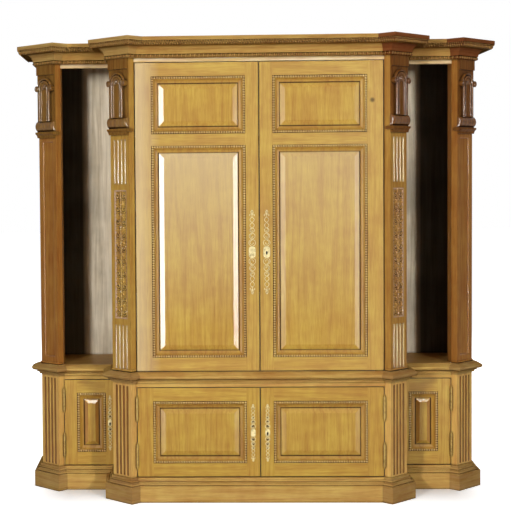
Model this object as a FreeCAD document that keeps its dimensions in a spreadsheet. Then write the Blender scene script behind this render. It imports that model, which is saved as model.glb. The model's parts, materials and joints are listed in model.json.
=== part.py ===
# Two-stage oak library cabinet with a breakfront, diagonal posts, two open niches and six doors.
# Millimetres, +Z up, the front faces -Y; the origin is on the floor at the middle of the box.
import FreeCAD, Part

import math
import operator
import os
from types import SimpleNamespace

import Sketcher
from FreeCAD import Placement, Rotation, Vector

DIMENSIONS = {
    # Plan of the carcase
    "half_width": 1172,
    "niche_width": 278,
    "post_run": 100,
    "post_side_run": 26,
    "post_back": 100,
    "return_depth": 230,
    "niche_depth": 440,
    # Levels
    "total_height": 2400,
    "plinth_height": 124,
    "rail_height": 52,
    "waist_top": 676,
    "frieze_drop": 121,
    "roof_drop": 20,
    # Boards
    "side_board": 25,
    "floor_board": 22,
    "deck_board": 28,
    "roof_board": 20,
    "rail_board": 25,
    "back_board": 18,
    "shelf_board": 24,
    "shelf_setback": 60,
    "shelf_spacing": 400,
    # Cornice profile
    "cornice_height": 100,
    "cornice_projection": 110,
    "cornice_bead": 20,
    "cornice_bead_rise": 18,
    "cornice_bead_sag": 7.2,
    "cornice_cove_foot": 29,
    "cornice_cove_head": 56,
    "cornice_cove_sag": 7.25,
    "cornice_soffit_rise": 57,
    "cornice_ovolo_foot": 82,
    "cornice_ovolo_head": 104,
    "cornice_ovolo_sag": 6,
    "cornice_fascia": 20,
    # Surbase profile
    "surbase_height": 56,
    "surbase_projection": 53,
    "surbase_return": 70,
    "surbase_foot": 12,
    "surbase_foot_rise": 6,
    "surbase_hollow": 34,
    "surbase_hollow_rise": 22,
    "surbase_hollow_sag": 3.3,
    "surbase_ovolo": 38,
    "surbase_ovolo_sag": 4,
    "surbase_nose_foot": 36,
    "surbase_nose_head": 40,
    "surbase_weathering": 8,
    "surbase_slope_sag": 2.5,
    # Plinth profile
    "plinth_projection": 43,
    "plinth_face": 84,
    "plinth_shoulder": 38,
    "plinth_cap": 10,
    "plinth_cap_rise": 6,
    "plinth_hollow": 4.25,
    # Post ornament
    "flute_radius": 7,
    "flute_pitch": 27,
    "flute_depth": 6,
    "base_flute_head": 16,
    "base_flute_foot": 10,
    "upper_flute_drop": 516,
    "upper_flute_length": 232,
    "lower_flute_foot": 12,
    "carved_panel_head": 30,
    "carved_panel_foot": 32,
    "plain_panel_drop": 510,
    "plain_panel_foot": 40,
    "panel_margin": 24,
    "panel_sink": 7,
    # Corbels
    "abacus_drop": 493,
    "abacus_height": 31,
    "abacus_projection": 26,
    "abacus_foot": 12,
    "abacus_fillet": 9,
    "abacus_hollow": 3.5,
    "abacus_return": 9,
    "abacus_return_height": 15,
    "gadroon_seat": 5,
    "gadroon_height": 52,
    "gadroon_foot": 12,
    "gadroon_bulge": 13,
    "tablet_back": 8,
    "tablet_thickness": 12,
    "tablet_width": 86,
    "tablet_drop": 228,
    "hood_radius": 58,
    "hood_thickness": 7,
    "volute_reach": 55,
    "volute_radius": 16,
    "volute_depth": 20,
    "block_drop": 154,
    "block_projection": 16,
    # Doors
    "door_thickness": 30,
    "door_gap": 4,
    "pivot_gap": 5,
    "meeting_gap": 3,
    "hinge_stile": 84,
    "meeting_stile": 70,
    "side_hinge_stile": 70,
    "side_meeting_stile": 48,
    "top_rail": 72,
    "bottom_rail": 72,
    "middle_rail": 64,
    "middle_rail_drop": 553,
    "groove_depth": 8,
    "groove_width": 10,
    "groove_back": 12,
    "panel_play": 1,
    "field_back": 2,
    "bevel_width": 27,
    "side_bevel_width": 20,
    "panel_moulding": 36,
    "panel_bead": 10,
    "panel_bead_rise": 3,
    "panel_bead_seat": 0.5,
    "panel_hollow": 3.3,
    # Butt hinges and pivots
    "knuckle_radius": 6,
    "knuckle_clear": 1,
    "knuckle_play": 0.3,
    "pin_radius": 3,
    "pin_clearance": 0.05,
    "leaf_thickness": 1.9,
    "leaf_width": 30,
    "hinge_length": 108,
    "hinge_inset": 108,
    "finial_length": 17,
    "finial_foot_radius": 5.4,
    "finial_tip_radius": 1.2,
    "pivot_radius": 4,
    "pivot_inset": 10,
    "pivot_depth": 8,
    "pivot_pin_length": 12,
    "pivot_plate": 1.95,
    "pivot_plate_length": 44,
    "pivot_plate_width": 12,
    "pivot_hole_clearance": 0.6,
    # Locks and escutcheons
    "lock_backset": 36,
    "side_lock_backset": 24,
    "lock_margin": 14,
    "lock_height": 70,
    "lock_depth": 14,
    "bolt_height": 14,
    "bolt_thickness": 6,
    "bolt_length": 30,
    "bolt_clearance": 0.1,
    "bolt_setback": 0.5,
    "strike_depth": 13,
    "strike_clearance": 1.5,
    "upper_key_height": 1296,
    "lower_key_height": 356,
    "escutcheon_thickness": 2,
    "escutcheon_plate": 17,
    "escutcheon_bar": 7,
    "escutcheon_scroll": 12,
    "escutcheon_finial": 6,
    "upper_escutcheon_half": 218,
    "lower_escutcheon_half": 150,
    "keyhole_radius": 3.6,
    "keyhole_slot": 13,
    "keyhole_slot_width": 3.4,
}

BACK_PLANKS_PER_NICHE = 3
BACK_PLANKS_CENTRE = 8
SHELF_COUNT = 3
FLUTE_COUNT = 4
QUARTER_TURN = math.tan(math.radians(45))
EIGHTH_TURN = math.tan(math.radians(22.5))
ROOT_TWO = math.sqrt(2)
MITRE_MARGIN = 5
BOSS_SHARE = 0.42

OPERATIONS = {"+": operator.add, "-": operator.sub, "*": operator.mul, "/": operator.truediv}


class Size:
    """A length that carries its value and the sheet expression that gives it."""

    def __init__(self, value, text=None):
        self.value = float(value)
        self.text = text or repr(float(value))

    def __add__(self, other):
        return combine(self, "+", other)

    def __radd__(self, other):
        return combine(other, "+", self)

    def __sub__(self, other):
        return combine(self, "-", other)

    def __rsub__(self, other):
        return combine(other, "-", self)

    def __mul__(self, other):
        return combine(self, "*", other)

    def __rmul__(self, other):
        return combine(other, "*", self)

    def __truediv__(self, other):
        return combine(self, "/", other)

    def __neg__(self):
        return combine(0, "-", self)

    def root(self):
        """The square root."""
        return Size(math.sqrt(self.value), f"sqrt({self.text})")


def as_size(value):
    """A plain number becomes a size with no sheet cell behind it."""
    return value if isinstance(value, Size) else Size(value)


def combine(left, sign, right):
    """The sum, difference, product or quotient of two sizes, with its expression."""
    left, right = as_size(left), as_size(right)
    value = OPERATIONS[sign](left.value, right.value)
    return Size(value, f"({left.text} {sign} {right.text})")


# The document and its sheet of driving dimensions
doc = FreeCAD.newDocument("library_cabinet")
sheet = doc.addObject("Spreadsheet::Sheet", "Dims")
for row, (alias, number) in enumerate(DIMENSIONS.items(), start=1):
    sheet.set(f"A{row}", alias)
    sheet.set(f"B{row}", str(number))
    sheet.setAlias(f"B{row}", alias)
doc.recompute()
dim = SimpleNamespace(**{alias: Size(number, f"Dims.{alias}") for alias, number in DIMENSIONS.items()})
nodes = []


def bind(thing, path, size):
    """Tie one property of an object to the sheet."""
    thing.setExpression(path, as_size(size).text)


def place(thing, point, rotation=Rotation()):
    """Set an object's place and tie it to the sheet."""
    thing.Placement = Placement(Vector(*(as_size(part).value for part in point)), rotation)
    for axis, part in zip("xyz", point):
        bind(thing, f"Placement.Base.{axis}", part)


def node(label, thing):
    """Name a finished sub-part and list it for export."""
    thing.Label = label
    nodes.append(thing)
    return thing


def group(name, members):
    """Several separate solids that belong to one sub-part."""
    compound = doc.addObject("Part::Compound", name)
    compound.Links = members
    return compound


def mirrored(source):
    """The right-hand twin of a left-hand piece."""
    twin = doc.addObject("Part::Mirroring", source.Name + "_twin")
    twin.Source = source
    twin.Normal = Vector(1, 0, 0)
    return twin


def pair(label, left):
    """A left-hand piece and its twin as one sub-part."""
    return node(label, group(label, [left, mirrored(left)]))


def box(name, low, high):
    """A board between two opposite corners."""
    board = doc.addObject("Part::Box", name)
    for path, start, end in zip(("Length", "Width", "Height"), low, high):
        bind(board, path, as_size(end) - start)
    place(board, low)
    return board


def cylinder(name, point, radius, height, rotation=Rotation()):
    """A round bar from a point along the turned Z axis."""
    bar = doc.addObject("Part::Cylinder", name)
    bind(bar, "Radius", radius)
    bind(bar, "Height", height)
    place(bar, point, rotation)
    return bar


def fused(name, members):
    """Several solids joined into one."""
    union = doc.addObject("Part::MultiFuse", name)
    union.Shapes = members
    union.Refine = True
    return union


def cut(name, base, tools):
    """A solid with one or more tools taken out of it."""
    for count, tool in enumerate(tools):
        result = doc.addObject("Part::Cut", f"{name}_{count}")
        result.Base = base
        result.Tool = tool
        base = result
    return base


def arc_centre(start, end, sag):
    """The centre of the arc over a chord with a given rise, to the right of the way it runs."""
    across = as_size(end[0]) - start[0]
    along = as_size(end[1]) - start[1]
    chord = (across * across + along * along).root()
    shift = (as_size(sag) / 2 - chord * chord / 8 / sag) / chord
    centre_x = (as_size(start[0]) + end[0]) / 2 + along * shift
    centre_y = (as_size(start[1]) + end[1]) / 2 - across * shift
    return centre_x, centre_y, abs(across.value) > abs(along.value)


def add_outline(sketch, corners):
    """A closed outline whose corners are held by bound distances from the sketch's origin.

    A corner is (x, y), or (x, y, sag) where an arc runs to the next corner. A positive sag bulges
    to the right of the way the outline runs, which is outwards on an anticlockwise outline. Arcs are
    drawn anticlockwise, so a hollow one is drawn from its far end.
    """
    following = corners[1:] + corners[:1]
    points = [Vector(as_size(corner[0]).value, as_size(corner[1]).value, 0) for corner in corners]
    edges = []
    for index, corner in enumerate(corners):
        start, end = points[index], points[(index + 1) % len(points)]
        if len(corner) == 2:
            edges.append(Part.LineSegment(start, end))
            continue
        chord = end - start
        outwards = Vector(chord.y, -chord.x, 0).normalize()
        middle = (start + end) * 0.5 + outwards * as_size(corner[2]).value
        arc_ends = (end, start) if as_size(corner[2]).value < 0 else (start, end)
        edges.append(Part.Arc(arc_ends[0], middle, arc_ends[1]))
    first = sketch.GeometryCount
    sketch.addGeometry(edges, False)
    hollow = [len(corner) == 3 and as_size(corner[2]).value < 0 for corner in corners]
    ends = [(2, 1) if backwards else (1, 2) for backwards in hollow]
    constraints, sizes = [], []
    for index, corner in enumerate(corners):
        after = (index + 1) % len(corners)
        edge = first + index
        constraints.append(Sketcher.Constraint(
            "Coincident", edge, ends[index][1], first + after, ends[after][0]))
        sizes.append(None)
        for kind, size in zip(("DistanceX", "DistanceY"), corner):
            constraints.append(Sketcher.Constraint(kind, -1, 1, edge, ends[index][0], as_size(size).value))
            sizes.append(as_size(size))
        if len(corner) == 3:
            middle_x, middle_y, is_level = arc_centre(corner, following[index], corner[2])
            kind, size = ("DistanceY", middle_y) if is_level else ("DistanceX", middle_x)
            # Point 3 of an arc is its centre
            constraints.append(Sketcher.Constraint(kind, -1, 1, edge, 3, size.value))
            sizes.append(size)
    number = sketch.ConstraintCount
    sketch.addConstraint(constraints)
    for offset, size in enumerate(sizes):
        if size is not None:
            bind(sketch, f"Constraints[{number + offset}]", size)


def draw(body, role, outlines, lift=0):
    """A sketch of closed outlines on one of the body's own planes, lifted along its normal."""
    sketch = body.newObject("Sketcher::SketchObject", body.Name + "_sketch")
    plane = next(feature for feature in body.Origin.OriginFeatures if feature.Role == role)
    sketch.AttachmentSupport = [(plane, "")]
    sketch.MapMode = "FlatFace"
    bind(sketch, "AttachmentOffset.Base.z", lift)
    for corners in outlines:
        add_outline(sketch, corners)
    return sketch


def pad(body, role, outlines, length, lift=0):
    """Outlines raised along the plane's normal."""
    feature = body.newObject("PartDesign::Pad", body.Name + "_pad")
    feature.Profile = draw(body, role, outlines, lift)
    bind(feature, "Length", length)
    return feature


def pocket(body, role, outlines, depth=None):
    """Outlines cut against the plane's normal to a depth, or right through both ways."""
    feature = body.newObject("PartDesign::Pocket", body.Name + "_pocket")
    feature.Profile = draw(body, role, outlines)
    if depth is None:
        feature.Type = "ThroughAll"
        feature.SideType = "Symmetric"
    else:
        bind(feature, "Length", depth)
    return feature


def rectangle(low, high):
    """The four corners between two opposite ones, anticlockwise."""
    return [(low[0], low[1]), (high[0], low[1]), (high[0], high[1]), (low[0], high[1])]


# Plan: the recess plane carries the niches and side doors, the centre plane carries the main doors
front_reach = dim.return_depth + dim.post_run + dim.cornice_projection * ROOT_TWO
back_reach = dim.niche_depth + dim.back_board
recess_y = (front_reach - back_reach) / 2
centre_y = recess_y - dim.return_depth - dim.post_run + dim.post_side_run
back_inside = recess_y + dim.niche_depth
back_outside = back_inside + dim.back_board
side_x = -dim.half_width
post_width = dim.post_run * ROOT_TWO
post_side = dim.post_side_run * ROOT_TWO
outer_edge = (side_x, recess_y + dim.post_run - dim.post_side_run)
side_depth = back_outside - outer_edge[1]
outer_tip = (side_x + dim.post_run, recess_y - dim.post_side_run)
outer_jamb = (outer_tip[0] + dim.post_side_run, recess_y)
return_x = outer_jamb[0] + dim.niche_width
recess_corner = (return_x, recess_y)
inner_edge = (return_x, recess_y - dim.return_depth)
inner_tip = (return_x + dim.post_run, inner_edge[1] - dim.post_run)
inner_jamb = (inner_tip[0] + dim.post_side_run, centre_y)
outer_post_back = recess_y + dim.post_back
inner_post_back = centre_y + dim.post_back

# Levels: the base is measured up from the floor, the head of the cabinet down from its top
deck_bottom = dim.waist_top - dim.deck_board
rail_bottom = deck_bottom - dim.rail_height
roof_top = dim.total_height - dim.roof_drop
roof_bottom = roof_top - dim.roof_board
frieze_bottom = dim.total_height - dim.frieze_drop
abacus_bottom = dim.total_height - dim.abacus_drop
abacus_top = abacus_bottom + dim.abacus_height
gadroon_bottom = abacus_top + dim.gadroon_seat
gadroon_top = gadroon_bottom + dim.gadroon_height
tablet_spring = dim.total_height - dim.tablet_drop
block_bottom = dim.total_height - dim.block_drop
middle_rail_bottom = dim.total_height - dim.middle_rail_drop


def mitred_length(name, point, rotation, length, profile, reach, start_turn, end_turn):
    """One length of moulding along its own X, profile in YZ, with both ends sawn to a mitre.

    A turn is the tangent of half the corner's angle: positive where the run turns round an outer
    corner, negative in an inner corner and zero at a square end.
    """
    body = doc.addObject("PartDesign::Body", name)
    over = reach + 2 * MITRE_MARGIN
    far = reach + 3 * MITRE_MARGIN
    outside = reach + MITRE_MARGIN
    pad(body, "YZ_Plane", [profile], length + 2 * over, -over)
    start_cut = [
        (-far, -MITRE_MARGIN),
        (start_turn * MITRE_MARGIN, -MITRE_MARGIN),
        (-start_turn * outside, outside),
        (-far, outside),
    ]
    end_cut = [
        (length - end_turn * MITRE_MARGIN, -MITRE_MARGIN),
        (length + far, -MITRE_MARGIN),
        (length + far, outside),
        (length + end_turn * outside, outside),
    ]
    pocket(body, "XY_Plane", [start_cut, end_cut])
    place(body, point, rotation)
    return body


def plan_run(label, profile, reach, level, side_length):
    """A moulding that breaks round the whole front and both ends, as mitred lengths."""
    centre_start = (-inner_jamb[0], centre_y)
    recess_length = recess_corner[0] - outer_jamb[0]
    lengths = [
        ("strip_inner", inner_jamb, 225, post_side, -EIGHTH_TURN, QUARTER_TURN),
        ("face_inner", inner_tip, 135, post_width, QUARTER_TURN, EIGHTH_TURN),
        ("return", inner_edge, 90, dim.return_depth, EIGHTH_TURN, -QUARTER_TURN),
        ("recess", recess_corner, 180, recess_length, -QUARTER_TURN, -EIGHTH_TURN),
        ("strip_outer", outer_jamb, 225, post_side, -EIGHTH_TURN, QUARTER_TURN),
        ("face_outer", outer_tip, 135, post_width, QUARTER_TURN, EIGHTH_TURN),
        ("side", outer_edge, 90, side_length, EIGHTH_TURN, 0),
    ]
    centre = mitred_length(
        f"{label}_centre", (*centre_start, level), Rotation(Vector(0, 0, 1), 180),
        -2 * inner_jamb[0], profile, reach, -EIGHTH_TURN, -EIGHTH_TURN)
    members = [centre]
    for part, point, angle, length, start_turn, end_turn in lengths:
        left = mitred_length(
            f"{label}_{part}", (*point, level), Rotation(Vector(0, 0, 1), angle),
            length, profile, reach, start_turn, end_turn)
        members += [left, mirrored(left)]
    return node(label, group(label, members))


def make_plinth():
    """Deep plain face under a hollow and a cap."""
    profile = [
        (0, 0),
        (dim.plinth_projection, 0),
        (dim.plinth_projection, dim.plinth_face),
        (dim.plinth_shoulder, dim.plinth_face, -dim.plinth_hollow),
        (dim.plinth_cap, dim.plinth_height - dim.plinth_cap_rise),
        (dim.plinth_cap, dim.plinth_height),
        (0, dim.plinth_height),
    ]
    plan_run("plinth", profile, dim.plinth_projection, 0, side_depth)


def make_surbase():
    """Waist moulding: hollow, ovolo and nosing under a weathered top, returned short at the ends."""
    profile = [
        (0, 0),
        (dim.surbase_foot, 0),
        (dim.surbase_foot, dim.surbase_foot_rise, -dim.surbase_hollow_sag),
        (dim.surbase_hollow, dim.surbase_hollow_rise),
        (dim.surbase_ovolo, dim.surbase_hollow_rise, dim.surbase_ovolo_sag),
        (dim.surbase_projection, dim.surbase_nose_foot),
        (dim.surbase_projection, dim.surbase_nose_head, dim.surbase_slope_sag),
        (dim.surbase_weathering, dim.surbase_height),
        (0, dim.surbase_height),
    ]
    surbase_bottom = dim.waist_top - dim.surbase_height
    plan_run("surbase_moulding", profile, dim.surbase_projection, surbase_bottom, dim.surbase_return)


def make_cornice():
    """Bead, cove, soffit, ovolo and fascia, from the bottom up."""
    fascia_foot = dim.cornice_height - dim.cornice_fascia
    profile = [
        (0, 0),
        (dim.cornice_bead, 0, dim.cornice_bead_sag),
        (dim.cornice_bead, dim.cornice_bead_rise),
        (dim.cornice_cove_foot, dim.cornice_bead_rise, -dim.cornice_cove_sag),
        (dim.cornice_cove_head, dim.cornice_soffit_rise),
        (dim.cornice_ovolo_foot, dim.cornice_soffit_rise, dim.cornice_ovolo_sag),
        (dim.cornice_ovolo_head, fascia_foot),
        (dim.cornice_projection, fascia_foot),
        (dim.cornice_projection, dim.cornice_height),
        (0, dim.cornice_height),
    ]
    cornice_bottom = dim.total_height - dim.cornice_height
    plan_run("cornice", profile, dim.cornice_projection, cornice_bottom, side_depth)


def make_boards():
    """Ends, partitions, floors, deck, roof, rails, frieze, backs and shelves."""
    end_inside = side_x + dim.side_board
    partition_inside = return_x + dim.side_board

    def upright(label, x_low, front, bottom, top, tools=()):
        board = box(f"{label}_board", (x_low, front, bottom), (x_low + dim.side_board, back_inside, top))
        pair(label, cut(f"{label}_cut", board, tools))

    upright("base_ends", side_x, outer_post_back, 0, deck_bottom)
    side_strike = bolt_space("side_strike", DOORS["side"], return_x, return_x + dim.strike_depth,
                             dim.strike_clearance)
    upright("base_partitions", return_x, inner_post_back, 0, deck_bottom, [side_strike])
    upright("upper_ends", side_x, outer_post_back, dim.waist_top, roof_bottom)
    upright("upper_partitions", return_x, inner_post_back, dim.waist_top, roof_bottom)

    def planks(label, side_low, side_high, centre_low, bottom, top, front_inset):
        """A level of boards: a front and a back plank in each side bay and in the centre."""
        side_front = box(f"{label}_side_front", (outer_jamb[0], recess_y + front_inset, bottom),
                         (return_x, outer_post_back, top))
        side_back = box(f"{label}_side_back", (side_low, outer_post_back, bottom),
                        (side_high, back_inside, top))
        centre_front = box(f"{label}_centre_front", (inner_jamb[0], centre_y + front_inset, bottom),
                           (-inner_jamb[0], inner_post_back, top))
        centre_back = box(f"{label}_centre_back", (centre_low, inner_post_back, bottom),
                          (-centre_low, back_inside, top))
        left = [side_front, side_back]
        node(label, group(label, left + [mirrored(board) for board in left] + [centre_front, centre_back]))

    floor_bottom = dim.plinth_height - dim.floor_board
    planks("base_floor", end_inside, return_x, partition_inside, floor_bottom, dim.plinth_height, 0)
    planks("waist_board", side_x, return_x, return_x, deck_bottom, dim.waist_top, 0)
    planks("roof", side_x, return_x, return_x, roof_bottom, roof_top, dim.rail_board)

    def rails(label, bottom, top):
        side = box(f"{label}_side", (outer_jamb[0], recess_y, bottom),
                   (return_x, recess_y + dim.rail_board, top))
        centre = box(f"{label}_centre", (inner_jamb[0], centre_y, bottom),
                     (-inner_jamb[0], centre_y + dim.rail_board, top))
        node(label, group(label, [side, mirrored(side), centre]))

    rails("base_rails", rail_bottom, deck_bottom)
    rails("frieze", frieze_bottom, roof_top)

    def backs(label, bottom, top):
        """Upright back boards: a few behind each niche, more behind the centre."""
        niche_plank = (return_x - side_x) / BACK_PLANKS_PER_NICHE
        centre_plank = -2 * return_x / BACK_PLANKS_CENTRE
        left, centre = [], []
        for index in range(BACK_PLANKS_PER_NICHE):
            start = side_x + niche_plank * index
            left.append(box(f"{label}_side_{index}", (start, back_inside, bottom),
                            (start + niche_plank, back_outside, top)))
        for index in range(BACK_PLANKS_CENTRE):
            start = return_x + centre_plank * index
            centre.append(box(f"{label}_centre_{index}", (start, back_inside, bottom),
                              (start + centre_plank, back_outside, top)))
        node(label, group(label, left + [mirrored(plank) for plank in left] + centre))

    backs("base_back", 0, dim.waist_top)
    backs("upper_back", dim.waist_top, roof_top)

    shelves = []
    for index in range(SHELF_COUNT):
        bottom = dim.waist_top + dim.shelf_spacing * (index + 1)
        front = inner_post_back + dim.shelf_setback
        shelves.append(box(f"shelf_{index}", (partition_inside, front, bottom),
                           (-partition_inside, back_inside, bottom + dim.shelf_board)))
    node("shelves", group("shelves", shelves))


def post_blank(name, edge, bottom, top):
    """A post set diagonally: its canted face is the body's own XZ plane, running from the outer edge."""
    body = doc.addObject("PartDesign::Body", name)
    shoulder = dim.post_back / ROOT_TWO
    outer_flat = (dim.post_back + dim.post_side_run - dim.post_run) / ROOT_TWO
    section = [
        (0, 0),
        (post_width, 0),
        (post_width, post_side),
        (post_width - shoulder, post_side + shoulder),
        (-outer_flat, outer_flat),
    ]
    pad(body, "XY_Plane", [section], as_size(top) - bottom, bottom)
    place(body, (*edge, 0), Rotation(Vector(0, 0, 1), -45))
    return body


def cut_flutes(body, bottom, top):
    """A row of round-ended flutes across the canted face."""
    radius = dim.flute_radius
    middle = post_width / 2 - dim.flute_pitch * (FLUTE_COUNT - 1) / 2
    low, high = middle - radius, middle + radius
    slot = [
        (low, bottom + radius, radius),
        (high, bottom + radius),
        (high, top - radius, radius),
        (low, top - radius),
    ]
    flute = pocket(body, "XZ_Plane", [slot], dim.flute_depth)
    row = body.newObject("PartDesign::LinearPattern", body.Name + "_flutes")
    row.Originals = [flute]
    axis = next(feature for feature in body.Origin.OriginFeatures if feature.Role == "X_Axis")
    row.Direction = (axis, [""])
    bind(row, "Length", dim.flute_pitch * (FLUTE_COUNT - 1))
    row.Occurrences = FLUTE_COUNT
    body.Tip = row


def sink_panel(body, bottom, top):
    """A sunken panel down the canted face."""
    outline = rectangle((dim.panel_margin, bottom), (post_width - dim.panel_margin, top))
    pocket(body, "XZ_Plane", [outline], dim.panel_sink)


def make_posts():
    """Fluted base posts, panelled outer posts above, fluted and panelled inner posts above."""
    base_posts = (("base_outer_posts", outer_edge), ("base_inner_posts", inner_edge))
    for label, edge in base_posts:
        body = post_blank(f"{label}_left", edge, 0, dim.waist_top)
        surbase_bottom = dim.waist_top - dim.surbase_height
        cut_flutes(body, dim.plinth_height + dim.base_flute_foot, surbase_bottom - dim.base_flute_head)
        pair(label, body)
    outer = post_blank("upper_outer_posts_left", outer_edge, dim.waist_top, roof_top)
    sink_panel(outer, dim.waist_top + dim.plain_panel_foot, dim.total_height - dim.plain_panel_drop)
    pair("upper_outer_posts", outer)
    inner = post_blank("upper_inner_posts_left", inner_edge, dim.waist_top, roof_top)
    head_flute_top = dim.total_height - dim.upper_flute_drop
    head_flute_bottom = head_flute_top - dim.upper_flute_length
    foot_flute_bottom = dim.waist_top + dim.lower_flute_foot
    foot_flute_top = foot_flute_bottom + dim.upper_flute_length
    cut_flutes(inner, head_flute_bottom, head_flute_top)
    sink_panel(inner, foot_flute_top + dim.carved_panel_foot, head_flute_bottom - dim.carved_panel_head)
    cut_flutes(inner, foot_flute_bottom, foot_flute_top)
    pair("upper_inner_posts", inner)


def corbel(name, edge):
    """Abacus, gadroon roll, arched tablet under a hood with two volutes, and the block above."""
    body = doc.addObject("PartDesign::Body", name)
    block_top = dim.total_height - dim.cornice_height
    side_profile = [
        (0, abacus_bottom),
        (0, block_top),
        (-dim.block_projection, block_top),
        (-dim.block_projection, block_bottom),
        (-dim.tablet_back, block_bottom),
        (-dim.tablet_back, gadroon_top),
        (-dim.gadroon_foot, gadroon_top, dim.gadroon_bulge),
        (-dim.gadroon_foot, gadroon_bottom),
        (-dim.gadroon_foot, abacus_top),
        (-dim.abacus_projection, abacus_top),
        (-dim.abacus_projection, abacus_top - dim.abacus_fillet, -dim.abacus_hollow),
        (-dim.abacus_foot, abacus_bottom),
    ]
    pad(body, "YZ_Plane", [side_profile], post_width)
    half = dim.tablet_width / 2
    middle = post_width / 2
    arched = [
        (middle - half, gadroon_top),
        (middle + half, gadroon_top),
        (middle + half, tablet_spring, half),
        (middle - half, tablet_spring),
    ]
    pad(body, "XZ_Plane", [arched], dim.tablet_thickness, dim.tablet_back)
    hood_start = (middle + dim.hood_radius, tablet_spring, dim.hood_radius)
    hood = [hood_start, (middle - dim.hood_radius, tablet_spring)]
    pad(body, "XZ_Plane", [hood], dim.hood_thickness, dim.tablet_back)
    for centre in (middle - dim.volute_reach, middle + dim.volute_reach):
        radius = dim.volute_radius
        disc = [(centre - radius, tablet_spring, radius), (centre + radius, tablet_spring, radius)]
        pad(body, "XZ_Plane", [disc], dim.volute_depth, dim.tablet_back)
    return_end = post_side - dim.abacus_return - dim.door_gap
    return_start = (post_width, -dim.abacus_projection)
    abacus_return = rectangle(return_start, (post_width + dim.abacus_return, return_end))
    pad(body, "XY_Plane", [abacus_return], dim.abacus_return_height, abacus_top - dim.abacus_return_height)
    place(body, (*edge, 0), Rotation(Vector(0, 0, 1), -45))
    return body


def make_corbels():
    """One corbel on the head of each upper post."""
    left = [corbel("corbel_outer", outer_edge), corbel("corbel_inner", inner_edge)]
    node("corbels", group("corbels", left + [mirrored(piece) for piece in left]))


def door_layout(jamb, free_x, face_y, bottom, top, hinge_gap, stiles, key_height, backset, bevel,
                rail_bands):
    """The sizes of one left-hand door; rail bands are the (bottom, top) of each rail, lowest first."""
    return SimpleNamespace(
        jamb_x=jamb[0], hinge_x=jamb[0] + hinge_gap, free_x=free_x, face_y=face_y,
        back_y=face_y + dim.door_thickness, bottom=bottom, top=top, stiles=stiles,
        panel_left=jamb[0] + hinge_gap + stiles[0], panel_right=free_x - stiles[1],
        key_height=key_height, backset=backset, bevel=bevel, rail_bands=rail_bands)


upper_bottom = dim.waist_top + dim.door_gap
upper_top = frieze_bottom - dim.door_gap
lower_bottom = dim.plinth_height + dim.door_gap
lower_top = rail_bottom - dim.door_gap
middle_x = -dim.meeting_gap / 2
lower_bands = [(lower_bottom, lower_bottom + dim.bottom_rail), (lower_top - dim.top_rail, lower_top)]
upper_bands = [
    (upper_bottom, upper_bottom + dim.bottom_rail),
    (middle_rail_bottom, middle_rail_bottom + dim.middle_rail),
    (upper_top - dim.top_rail, upper_top),
]
DOORS = {
    "upper": door_layout(
        inner_jamb, middle_x, centre_y, upper_bottom, upper_top, dim.pivot_gap,
        (dim.hinge_stile, dim.meeting_stile), dim.upper_key_height, dim.lock_backset,
        dim.bevel_width, upper_bands),
    "lower": door_layout(
        inner_jamb, middle_x, centre_y, lower_bottom, lower_top, dim.door_gap,
        (dim.hinge_stile, dim.meeting_stile), dim.lower_key_height, dim.lock_backset,
        dim.bevel_width, lower_bands),
    "side": door_layout(
        outer_jamb, return_x - dim.door_gap, recess_y, lower_bottom, lower_top, dim.door_gap,
        (dim.side_hinge_stile, dim.side_meeting_stile), dim.lower_key_height, dim.side_lock_backset,
        dim.side_bevel_width, lower_bands),
}


def lock_space(name, door):
    """The mortise for the lock, let in from the back of the meeting stile."""
    half = dim.lock_height / 2
    start_x = door.free_x - door.backset - dim.lock_margin
    return box(name, (start_x, door.back_y - dim.lock_depth, door.key_height - half),
               (door.free_x, door.back_y, door.key_height + half))


def bolt_space(name, door, start_x, end_x, play):
    """The bolt's own bar, or with play the slot that it runs in."""
    middle_y = door.back_y - dim.lock_depth / 2
    half_y = dim.bolt_thickness / 2 + play
    half_z = dim.bolt_height / 2 + play
    return box(name, (start_x, middle_y - half_y, door.key_height - half_z),
               (end_x, middle_y + half_y, door.key_height + half_z))


def key_hole(name, door, start_y, end_y):
    """A round key hole with its slot, along Y."""
    centre_x = door.free_x - door.backset
    hole = cylinder(f"{name}_round", (centre_x, start_y, door.key_height), dim.keyhole_radius,
                    as_size(end_y) - start_y, Rotation(Vector(1, 0, 0), -90))
    half = dim.keyhole_slot_width / 2
    slot = box(f"{name}_slot", (centre_x - half, start_y, door.key_height - dim.keyhole_slot),
               (centre_x + half, end_y, door.key_height))
    return fused(name, [hole, slot])


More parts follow.
